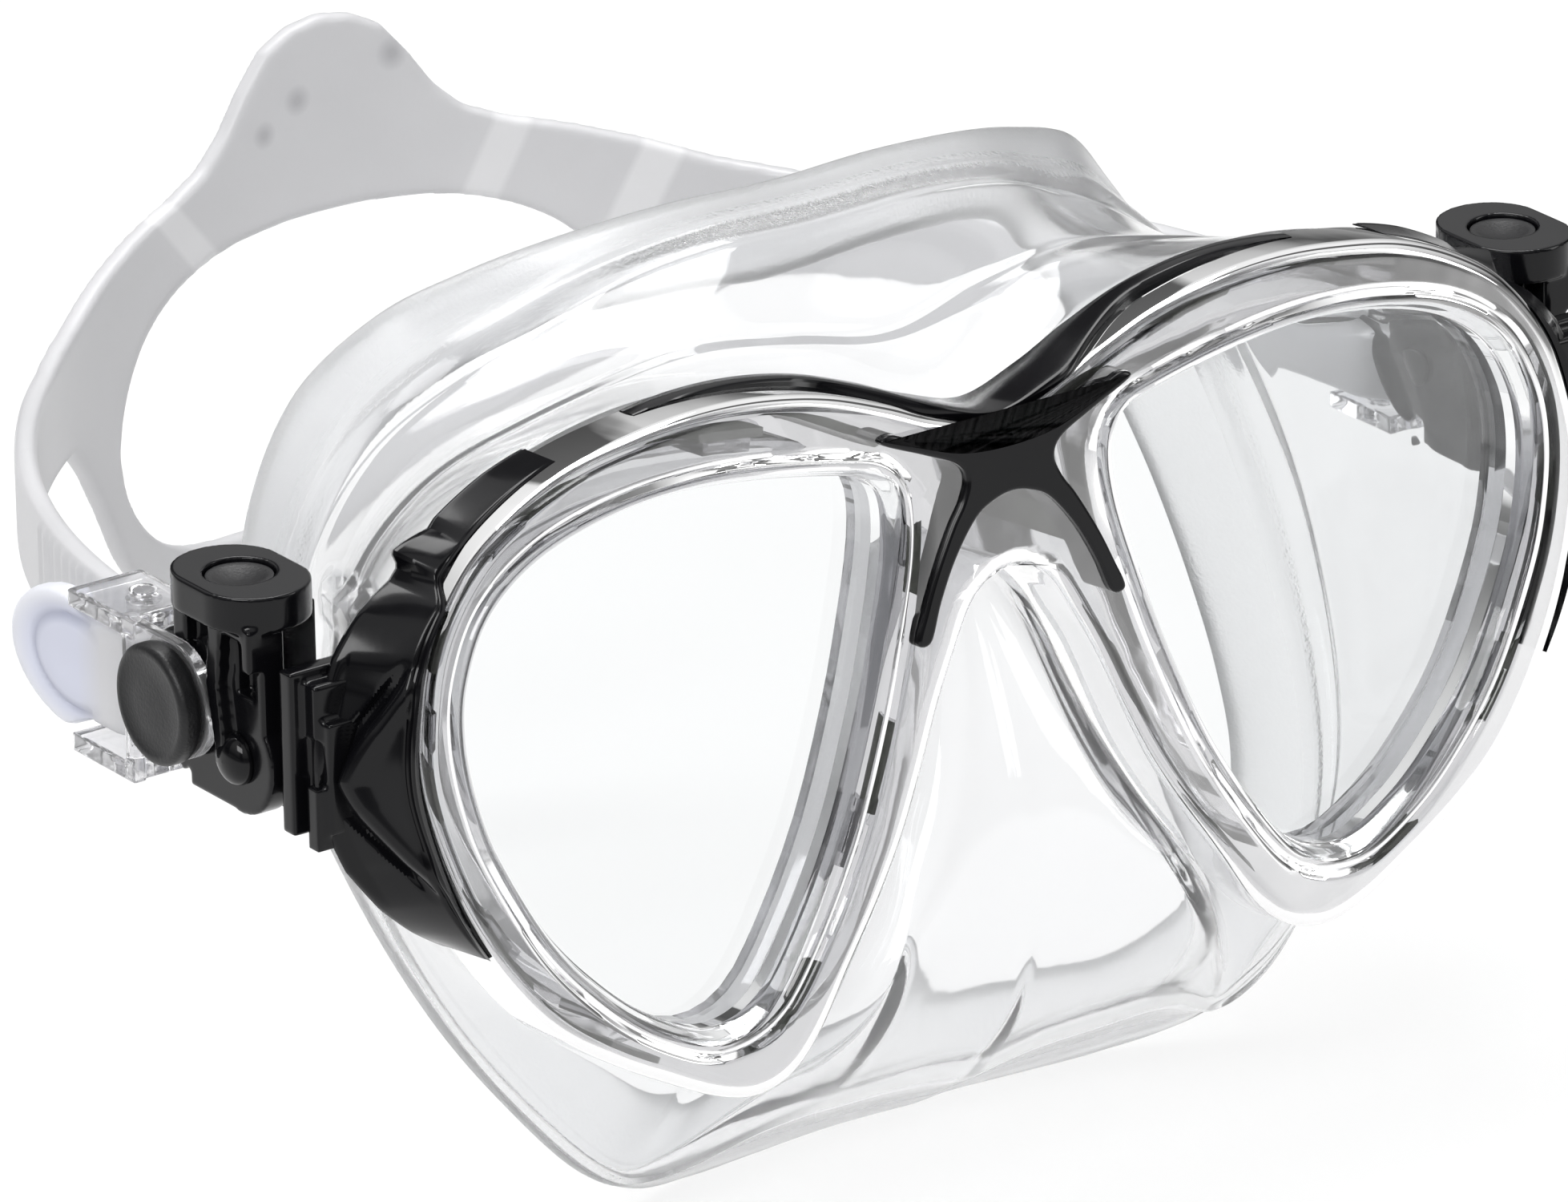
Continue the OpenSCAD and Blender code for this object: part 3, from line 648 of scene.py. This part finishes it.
CRADLE_GAP = [[0, 12.5], [10, 12.2], [18, 11], [25, 8.5], [30, 5], [33.5, 0], [35, -5.5],
              [34, -11], [31, -16], [26.5, -20], [20, -22.5], [10, -23.5], [0, -23.7]]
turn_angle = np.linspace(math.pi / 2, 0, 1200)
ellipse = np.stack([HALF_WIDTH * np.cos(turn_angle), ROLLER_Y + REACH * np.sin(turn_angle)], -1)
run = np.concatenate([[0], np.cumsum(np.linalg.norm(np.diff(ellipse, axis=0), axis=1))])
LOOP_END = run[-1]
TAIL_START = LOOP_END + math.pi * TURN
STRAP_END = TAIL_START + LEAF_Y + 0.6 + LEAF_LEN - ROLLER_Y
LEAF_START = TAIL_START + LEAF_Y - ROLLER_Y
LEAF_MIDDLE = LEAF_START + 0.6


def unrolled(points):
    """Back-view points [x, z] as flat strap points [run, z]."""
    return [(float(np.interp(x, ellipse[:, 0], run)), z) for x, z in points]


def strap_outline():
    top = [*unrolled(CRADLE_TOP), (run[700], 11.2), (LOOP_END - 30, STRAP_Z + STRAP_W / 2)]
    leaf = [(LEAF_START - 1.5, STRAP_Z + STRAP_W / 2)]
    leaf += [(LEAF_MIDDLE + LEAF_LEN * math.cos(a), STRAP_Z + LEAF_HALF * math.sin(a))
             for a in np.radians(np.linspace(80, -80, 15))]
    leaf.append((LEAF_START - 1.5, STRAP_Z - STRAP_W / 2))
    low = [(LOOP_END - 30, STRAP_Z - STRAP_W / 2), (run[700], -0.9), *unrolled(CRADLE_LOW)]
    half = top + leaf + low
    return half + [(-x, z) for x, z in half[-2:0:-1]]


def flat_strap():
    """A bevelled plate in the flat shape, remeshed into an even skin, in mm."""
    curve = bpy.data.curves.new("strap_flat", "CURVE")
    curve.dimensions = "2D"
    curve.fill_mode = "BOTH"
    curve.extrude = STRAP_T / 2 - 0.5
    curve.bevel_depth = 0.5
    curve.offset = -0.5
    gap = smooth(whole(unrolled(CRADLE_GAP)), 6)
    for loop in (strap_outline(), gap.tolist()):
        spline = curve.splines.new("POLY")
        spline.points.add(len(loop) - 1)
        for point, (x, z) in zip(spline.points, loop):
            point.co = (x, z, 0, 1)
        spline.use_cyclic_u = True
    made = bpy.data.objects.new("strap_flat", curve)
    bpy.context.scene.collection.objects.link(made)
    bpy.context.view_layer.objects.active = made
    made.select_set(True)
    bpy.ops.object.convert(target="MESH")
    made = bpy.context.object
    skin = made.modifiers.new("skin", "REMESH")
    skin.mode = "VOXEL"
    skin.voxel_size = 0.62
    soft = made.modifiers.new("soft", "CORRECTIVE_SMOOTH")
    soft.use_only_smooth = True
    soft.iterations = 6
    bpy.ops.object.convert(target="MESH")
    return bpy.context.object


# %% Wrap the strap along its path
def path_point(run_length):
    """Place and outward direction on the strap's middle line, for the wearer's left half."""
    r = np.clip(run_length, 0, STRAP_END)
    x = np.interp(r, run, ellipse[:, 0])
    y = np.interp(r, run, ellipse[:, 1])
    slope = np.gradient(ellipse, axis=0)
    nx = np.interp(r, run, -slope[:, 1])
    ny = np.interp(r, run, slope[:, 0])
    a = (r - LOOP_END) / TURN
    in_turn = (r > LOOP_END) & (r <= TAIL_START)
    x = np.where(in_turn, ROLLER_X - TURN * np.cos(a), x)
    y = np.where(in_turn, ROLLER_Y - TURN * np.sin(a), y)
    nx, ny = np.where(in_turn, np.cos(a), nx), np.where(in_turn, np.sin(a), ny)
    tail = r > TAIL_START
    x = np.where(tail, TAIL_X, x)
    y = np.where(tail, ROLLER_Y + r - TAIL_START, y)
    nx, ny = np.where(tail, -1.0, nx), np.where(tail, 0.0, ny)
    size = np.hypot(nx, ny)
    return x, y, nx / size, ny / size


def strap_relief(s, z, face):
    """Ribs near the rollers, and a groove and a raised rim round each pull tab."""
    a = np.abs(s)
    ribs = 0.3 * (np.sin((LOOP_END - a) * 2 * math.pi / 2.3) > 0) * ease((a - LOOP_END + 34) / 1.5)
    ribs = np.where((a < LOOP_END - 1) & (np.abs(z - STRAP_Z) < STRAP_W / 2 - 1.3) & (face < 0), ribs, 0)
    q = np.hypot((a - LEAF_MIDDLE) / LEAF_LEN, (z - STRAP_Z) / LEAF_HALF)
    groove = -0.55 * np.exp(-((q - 0.66) / 0.07) ** 2) * (a > LEAF_MIDDLE - 3)
    return ribs + groove + 0.25 * np.exp(-((q - 0.88) / 0.06) ** 2) * (a > LEAF_MIDDLE - 2)


def build_strap():
    made = flat_strap()
    made.name = "silicone_strap"
    co = np.empty(len(made.data.vertices) * 3)
    made.data.vertices.foreach_get("co", co)
    s, z, face = co.reshape(-1, 3).T
    x, y, nx, ny = path_point(np.abs(s))
    depth = -face - np.sign(face) * strap_relief(s, z, face) * (np.abs(face) > 0.8)
    placed = np.stack([np.sign(s) * (x + depth * nx), y + depth * ny, z], -1)
    placed[:, 0] = np.where(np.abs(s) < 1e-9, 0, placed[:, 0])
    made.data.vertices.foreach_set("co", level(placed).ravel())
    for name, values in (("run", s), ("up", z)):
        kept = made.data.attributes.new(name, "FLOAT", "POINT")
        kept.data.foreach_set("value", values.astype(np.float32))
    made.data.update()
    return made


# %% Strap finish
def strap_material():
    """Grey translucent silicone with a few paler slanting bands, darker spots and pale tabs; each tab has painted
    shade in its groove and a painted highlight on its raised rim.
    """
    made, tree, shader = new_material("grey_silicone")
    link = tree.links.new

    def number(operation, a, b=None):
        node = add(tree, "ShaderNodeMath", operation=operation)
        for place, value in enumerate((a, b)):
            if isinstance(value, (int, float)):
                node.inputs[place].default_value = value
            elif value is not None:
                link(value, node.inputs[place])
        return node.outputs[0]

    s = add(tree, "ShaderNodeAttribute", attribute_name="run").outputs["Fac"]
    z = add(tree, "ShaderNodeAttribute", attribute_name="up").outputs["Fac"]
    pale = None
    for middle, height, slant, half in ((-22, 15, -0.9, 3.0), (21.5, 15, 0.5, 3.0), (38, 8, 0.5, 3.2)):
        lean = number("MULTIPLY", number("SUBTRACT", z, height), slant)
        line = number("SUBTRACT", s, number("ADD", middle, lean))
        band = number("SUBTRACT", half, number("ABSOLUTE", line))
        band = number("MINIMUM", number("MAXIMUM", band, 0.0), 1.0)
        pale = band if pale is None else number("MAXIMUM", pale, band)
    above = number("GREATER_THAN", z, -4)
    pale = number("MULTIPLY", pale, above)
    dark = None
    for at_s, at_z, size in ((9, 30, 2.2), (-4, 27, 2.0), (-9, 24, 1.8)):
        away_from = number("SQRT", number("ADD", number("POWER", number("SUBTRACT", s, at_s), 2.0),
                                          number("POWER", number("SUBTRACT", z, at_z), 2.0)))
        spot = number("SUBTRACT", 1.0, number("DIVIDE", away_from, size))
        dark = spot if dark is None else number("MAXIMUM", dark, spot)
    cloud = noise(tree, 30.0, 4.0)
    grey = ramp(tree, cloud, (0.3, (0.68, 0.68, 0.695)), (0.7, (0.74, 0.74, 0.755)))
    banded = add(tree, "ShaderNodeMix", {"B": (0.93, 0.93, 0.94, 1)}, data_type="RGBA")
    link(number("MULTIPLY", pale, 0.55), banded.inputs["Factor"])
    link(grey, banded.inputs["A"])
    spotted = add(tree, "ShaderNodeMix", {"B": (0.36, 0.36, 0.38, 1)}, data_type="RGBA")
    link(ramp(tree, dark, (0.0, 0.0), (0.8, 0.55)), spotted.inputs["Factor"])
    link(banded.outputs["Result"], spotted.inputs["A"])
    past_turn = number("SUBTRACT", number("ABSOLUTE", s), TAIL_START)
    tab = ramp(tree, number("DIVIDE", past_turn, 12.0), (0.1, 0.0), (0.5, 1.0))
    leaf_s = number("DIVIDE", number("SUBTRACT", number("ABSOLUTE", s), LEAF_MIDDLE), LEAF_LEN)
    leaf_z = number("DIVIDE", number("SUBTRACT", z, STRAP_Z), LEAF_HALF)
    q = number("SQRT", number("ADD", number("POWER", leaf_s, 2.0), number("POWER", leaf_z, 2.0)))
    tabbed = add(tree, "ShaderNodeMix", data_type="RGBA")
    # The ramp's darker ring at 0.64 lies on the tab's groove and its whiter ring at 0.88 on the raised rim: painted
    # shade and a painted highlight over the tab's own pale lavender.
    link(ramp(tree, q, (0.5, (0.72, 0.74, 0.85)), (0.64, (0.5, 0.52, 0.63)), (0.72, (0.72, 0.74, 0.85)),
              (0.88, (0.88, 0.89, 0.94))), tabbed.inputs["B"])
    link(tab, tabbed.inputs["Factor"])
    link(spotted.outputs["Result"], tabbed.inputs["A"])
    link(tabbed.outputs["Result"], shader.inputs["Base Color"])
    link(ramp(tree, cloud, (0.3, 0.28), (0.7, 0.42)), shader.inputs["Roughness"])
    shader.inputs["IOR"].default_value = 1.41
    shader.inputs["Transmission Weight"].default_value = 0.3
    bump(tree, shader, noise(tree, 1500.0, 2.0), 0.3, 0.00005)
    return made


strap = finish_piece(build_strap(), [strap_material()], "strap_group", ["strap"], 50)

# %% [markdown]
# ## Black bridge plate and brow strip
# Two glossy black pieces sit on the clear frame: a plate with four thin legs over the nose, and
# a strip along the top edge, broad over the nose and narrow beyond it. Both are extrusions with
# a small fillet, and the fillet is what catches the light, so it is modelled: the outline is
# repeated a little further in and forward.

# %% Bridge plate
INSERT_HALF = [[0, 24.2], [5.4, 24.6], [10, 26], [14.9, 28.4], [16.4, 27.6], [11, 25.2],
               [7, 23.3], [5.8, 21.4], [6.6, 19], [8.3, 16.5], [10.8, 12], [12.6, 8],
               [13.8, 4.8], [12, 4.6], [10.3, 8.7], [8, 13], [5, 16.8], [2.5, 18.2], [0, 18.7]]


def plate(outline, front, back_face, fillet):
    """An upright plate with a filleted front edge, as points in mm and faces."""
    rings = [(0, back_face)]
    for a in np.radians([0, 22, 45, 67, 90]):
        rings.append((fillet * (1 - math.cos(a)), front + fillet * (1 - math.sin(a))))
    points = []
    for inset, depth in rings:
        p = shifted(outline, inset)
        points.append(np.stack([p[:, 0], np.full(len(p), depth), p[:, 1]], -1))
    count = len(outline)
    faces = grid_faces(len(rings), count) + [list(range(count)),
             [(len(rings) - 1) * count + i for i in range(count - 1, -1, -1)]]
    return np.concatenate(points), faces


insert_outline = smooth(whole(INSERT_HALF), 6)
points, faces = plate(insert_outline, -RIM_FRONT - 0.75, -RIM_FRONT + 1.2, 0.42)
bridge = new_piece("bridge_plate", level(leaned(points)), faces)
finish_piece(bridge, [gloss_black], "mask", ["bridge_insert"], 25)


# %% Brow strip
def swept_edge(places, section, side=1):
    """A bar along the rim: section(i) gives [offset outwards, depth] points at place i of the rim."""
    along = np.roll(rim, -1, 0) - np.roll(rim, 1, 0)
    out = np.stack([-along[:, 1], along[:, 0]], 1) / np.linalg.norm(along, axis=1)[:, None]
    rings = []
    for place in places:
        i, part = int(math.floor(place * STEPS)), place * STEPS % 1
        a, b = i % len(rim), (i + 1) % len(rim)
        at, way = rim[a] + part * (rim[b] - rim[a]), out[a] + part * (out[b] - out[a])
        rings.append([[side * (at[0] + o * way[0]), y, at[1] + o * way[1]] for o, y in section(place)])
    rings = np.array(rings)
    across = rings.shape[1]
    faces = grid_faces(len(rings), across)
    faces += [list(range(across - 1, -1, -1)), [(len(rings) - 1) * across + i for i in range(across)]]
    return rings.reshape(-1, 3), [f if side > 0 else f[::-1] for f in faces]


BROW_END = 5.7


def brow_section(place):
    t = 0.12 + 1.0 * (1 - abs(place / BROW_END) ** 3)
    f = -RIM_FRONT + 0.55 + 5.1 * ease((abs(place) - 0.9) / 2.2)
    return [(-0.05, f + 0.1), (t * 0.55, f - 0.12), (t - 0.15, f), (t, f + 0.3), (t + 0.05, f / 2 + 1.6),
            (t, RIM_BACK - 0.4), (t - 0.2, RIM_BACK - 0.1), (-0.05, RIM_BACK - 0.1)]


points, faces = swept_edge(np.linspace(-BROW_END, BROW_END, 115), brow_section)
brow = new_piece("brow_strip", level(leaned(points)), faces)
finish_piece(brow, [gloss_black], "mask", ["brow_insert"], 40)

# %% [markdown]
# ## Side arms
# Each side arm is a black crescent that wraps the rim's outer edge and sweeps back to the neck
# that carries the buckle. Its outer skin slopes from the front edge out and back. A loft along
# the rim follows that crescent, and a fold drawn as a height over the skin gives the grooves
# that meet in a point at the neck. Upright ribs stiffen the neck behind it.

# %% Arms: the width in mm at places along the rim, counted in its points, and the section there
ARM_WIDTH = [[7, 0.3], [7.6, 0.8], [8.5, 1.2], [8.65, 1.0], [9.05, 3.0], [9.18, 3.6], [9.27, 1.9],
             [9.45, 2.1], [9.9, 4.4], [10.4, 6.2], [11.2, 7.4], [12.2, 7.7], [13, 6.6], [13.6, 4.6],
             [14.1, 2.4], [14.5, 0.3]]
FOLD_AT, FOLD_REACH = 11.9, 1.5
GROOVE_DEPTH, HOLLOW_DEPTH, SWELL = 1.5, 0.8, 0.7
SKIN = np.linspace(0, 1, 44)


def arm_section(place):
    """Front lip, sloping skin with its grooves, rounded back edge and flat back."""
    w = float(np.interp(place, *np.transpose(ARM_WIDTH)))
    size = min(1.0, w / 4)
    share = abs(place - FOLD_AT) / FOLD_REACH
    groove = 0.9 - 0.62 * share ** 1.1
    fade = ease((1.15 - share) / 0.4)
    front = -4.5 + 3.2 * ease((9.6 - place) / 0.4)
    skin = []
    for v in SKIN:
        o = w * (0.1 + 0.9 * v ** 1.12)
        y = front + (3.7 - front) * v
        deep = GROOVE_DEPTH * math.exp(-((v - groove) / 0.075) ** 4) * fade
        hollow = HOLLOW_DEPTH * ease((v - groove) / 0.1) * ease((0.97 - v) / 0.12) * fade
        swell = SWELL * math.exp(-((v - groove + 0.22) / 0.12) ** 2) * fade
        lip = 0.5 * math.exp(-((v - 0.1) / 0.035) ** 2) * size
        drop = deep + hollow + lip - swell * size
        skin.append((o - drop * 0.75, y + drop * 0.66))
    back_edge = [(w + 0.1, 4.15), (w - 0.15, 4.7), (w * 0.9 - 0.1, 5.0)]
    return [(0.02, front + 0.4)] + skin + back_edge + [(0.02, 5.0)]


def box_points(low, high):
    """The eight corners of a block and its six faces."""
    p = [[x, y, z] for x in (low[0], high[0]) for y in (low[1], high[1]) for z in (low[2], high[2])]
    return p, [[0, 1, 3, 2], [4, 6, 7, 5], [0, 4, 5, 1], [2, 3, 7, 6], [0, 2, 6, 4], [1, 5, 7, 3]]


def bar_points(centre, radius, x0, x1, sides=48):
    """A round bar along X as points and faces."""
    a = np.linspace(0, 2 * math.pi, sides, endpoint=False)
    ring = np.stack([centre[0] + radius * np.cos(a), centre[1] + radius * np.sin(a)], -1)
    p = [[x, y, z] for x in (x0, x1) for y, z in ring]
    faces = [[i, (i + 1) % sides, sides + (i + 1) % sides, sides + i] for i in range(sides)]
    return p, faces + [list(range(sides - 1, -1, -1)), list(range(sides, 2 * sides))]


def joined(*parts):
    """Several sets of points and faces as one."""
    points, faces = [], []
    for p, f in parts:
        faces.extend([[v + len(points) for v in face] for face in f])
        points.extend(np.asarray(p, float).tolist())
    return points, faces


def remeshed(made, voxel, rounds):
    """One even skin over overlapping solids, smoothed so that edges become moulded fillets."""
    skin = made.modifiers.new("skin", "REMESH")
    skin.mode = "VOXEL"
    skin.voxel_size = voxel * MM
    soft = made.modifiers.new("soft", "SMOOTH")
    soft.iterations = rounds
    soft.factor = 0.5
    bpy.ops.object.select_all(action="DESELECT")
    bpy.context.view_layer.objects.active = made
    made.select_set(True)
    bpy.ops.object.convert(target="MESH")
    return bpy.context.object


NECK_YZ = NECK[1:]
for side, word in ((-1, "right"), (1, "left")):
    points, faces = swept_edge(np.linspace(ARM_WIDTH[0][0], ARM_WIDTH[-1][0], 151), arm_section, side)
    arm = new_piece("side_arm_" + word, level(leaned(points)), faces)
    finish_piece(arm, [gloss_black], "mask", ["arm_" + word], 32)
    solids = [box_points((76.5, 3, -1.5), (83.9, 8.4, 11)), bar_points(NECK_YZ, 5.5, 79.5, 83.5),
              box_points((79.5, 6, -1.5), (83.5, 16, 9.5)), box_points((77, 6.6, -2.2), (86.2, 8.8, 16.2)),
              box_points((76, 3.6, -3.2), (85.2, 5.6, 3.8)), box_points((76, 4.4, 9), (84.6, 7.2, 15))]
    points, faces = joined(*solids)
    points = np.array(points) * [side, 1, 1]
    neck = new_piece("neck_" + word, level(points), faces, flip=side < 0)
    neck = remeshed(neck, 0.3, 4)
    finish_piece(neck, [gloss_black], "mask", (), 60)

# %% [markdown]
# ## Buckles, cages and caps
# A buckle is an injection moulding: every edge has a fillet and the walls flow into each other.
# The quick way to that look is to join the CAD shape with a few extra webs, cover it all with a
# fine voxel skin and relax that skin a little. The clear cage is made the same way. The round
# cap, the button and the hinge pin are turned parts, so they are lathed from a profile.


# %% Buckles and cages
def moulded(name, node, extras, voxel, rounds, material, body, side):
    """A CAD node joined with extra solids under one smooth skin."""
    made = bpy.data.objects.new(name, frame["nodes"][node].data.copy())
    made.data.materials.clear()
    bpy.context.scene.collection.objects.link(made)
    built = bmesh.new()
    built.from_mesh(made.data)
    bmesh.ops.remove_doubles(built, verts=built.verts, dist=2e-6)
    if extras:
        points, faces = joined(*extras)
        points = level(np.array(points) * [side, 1, 1])
        corners = [built.verts.new(p) for p in points]
        for face in faces:
            built.faces.new([corners[i] for i in (face if side > 0 else face[::-1])])
    built.to_mesh(made.data)
    built.free()
    made = remeshed(made, voxel, rounds)
    return finish_piece(made, [material], body, [node], 60)


def wedge(profile, x0, x1):
    """A plate across X with this [y, z] outline."""
    n = len(profile)
    p = [[x, y, z] for x in (x0, x1) for y, z in profile]
    faces = [[i, (i + 1) % n, n + (i + 1) % n, n + i] for i in range(n)]
    return p, faces + [list(range(n - 1, -1, -1)), list(range(n, 2 * n))]


for side, word in ((-1, "right"), (1, "left")):
    ridge = wedge([(15.8, 4), (17.6, 4), (19.2, 12), (18.4, 19), (16.2, 19), (17, 12)], 86.4, 88.6)
    toe = wedge([(21, 2), (27, -1), (29.5, 1.5), (27, 5)], 79, 86.8)
    moulded("buckle_body_" + word, "buckle_" + word, [ridge, toe], 0.24, 5, gloss_black,
            "buckle_" + word, side)
    moulded("strap_cage_" + word, "cage_" + word, [], 0.26, 9, cage_clear, "strap_group", side)


# %% Caps and buttons
def lathe(profile, centre, axis, side, name, turns=96):
    """A turned part: profile is [radius, place along the axis]; the axis is X or Z."""
    a = np.linspace(0, 2 * math.pi, turns, endpoint=False)
    rings = []
    for r, h in profile:
        if axis == "X":
            ring = np.stack([np.full(turns, side * h), centre[1] + r * np.cos(a), centre[2] + r * np.sin(a)], -1)
        else:
            ring = np.stack([centre[0] + r * np.cos(a), centre[1] + r * np.sin(a), np.full(turns, h)], -1)
        rings.append(ring)
    points = level(np.array(rings))
    faces = grid_faces(len(profile), turns)
    flip = side < 0 if axis == "X" else True
    return new_piece(name, points, faces, flip)


CAP_YZ = (25.5, 8.0)
CAP_BACK, CAP_FACE = 89.0, 91.3
BUTTON_XY, BUTTON_TOP = (84.0, 19.0), 23.1
for side, word in ((-1, "right"), (1, "left")):
    profile = [(0.01, 75.4), (2.5, 75.4), (2.7, 75.6), (2.7, 76.1), (2.0, 76.1), (2.0, CAP_BACK), (5.6, CAP_BACK),
               (6.3, CAP_BACK + 0.2), (6.65, CAP_BACK + 0.6), (6.72, CAP_BACK + 1.1), (6.7, CAP_FACE - 0.3)]
    for a in np.radians(np.linspace(10, 90, 7)):
        profile.append((6.7 - 0.9 * (1 - math.cos(a)), CAP_FACE - 0.3 + 0.7 * math.sin(a)))
    profile += [(5.5, CAP_FACE + 0.36), (5.2, CAP_FACE + 0.22), (3, CAP_FACE + 0.3), (0.01, CAP_FACE + 0.34)]
    cap = lathe(profile, (0, *CAP_YZ), "X", side, "round_cap_" + word)
    finish_piece(cap, [satin_black], "strap_group", ["pivot_cap_" + word], 50)
    profile = [(0.01, 15), (1.0, 15), (1.2, 15.2), (1.2, 20.5), (3.5, 20.5), (3.75, 20.7), (3.75, BUTTON_TOP - 0.3),
               (3.62, BUTTON_TOP - 0.06), (3.3, BUTTON_TOP), (2.8, BUTTON_TOP - 0.12), (1.6, BUTTON_TOP - 0.5),
               (0.01, BUTTON_TOP - 0.62)]
    button = lathe(profile, (side * BUTTON_XY[0], BUTTON_XY[1], 0), "Z", side, "push_button_" + word)
    finish_piece(button, [satin_black], "release_button_" + word, ["release_button_" + word], 50)
    profile = [(0.01, 75.2), (2.1, 75.2), (2.1, 76.1), (1.5, 76.1), (1.5, 86.9), (2.9, 86.9), (2.95, 87.1)]
    profile += [(2.95 * math.cos(a), 87.15 + 1.75 * math.sin(a)) for a in np.radians(np.linspace(8, 89, 8))]
    pin = lathe(profile, (0, *NECK_YZ), "X", side, "domed_pin_" + word)
    finish_piece(pin, [gloss_black], "mask", ["neck_pin_" + word], 50)

# %% [markdown]
# ## Pieces kept from the CAD
# The glass, its retaining rings, the rollers and the springs are already right as they were cut,
# so they keep their CAD shape and only take their finish here.

# %% Finishes on the CAD pieces
KEPT = {"lens": glass_clear, "retainer": frame_clear, "roller": steel, "button_spring": steel}
for name, node in frame["nodes"].items():
    kind = next((k for k in KEPT if name.startswith(k)), None)
    if kind is None:
        continue
    node.data.materials.clear()
    node.data.materials.append(KEPT[kind])
    print(name, KEPT[kind].name)
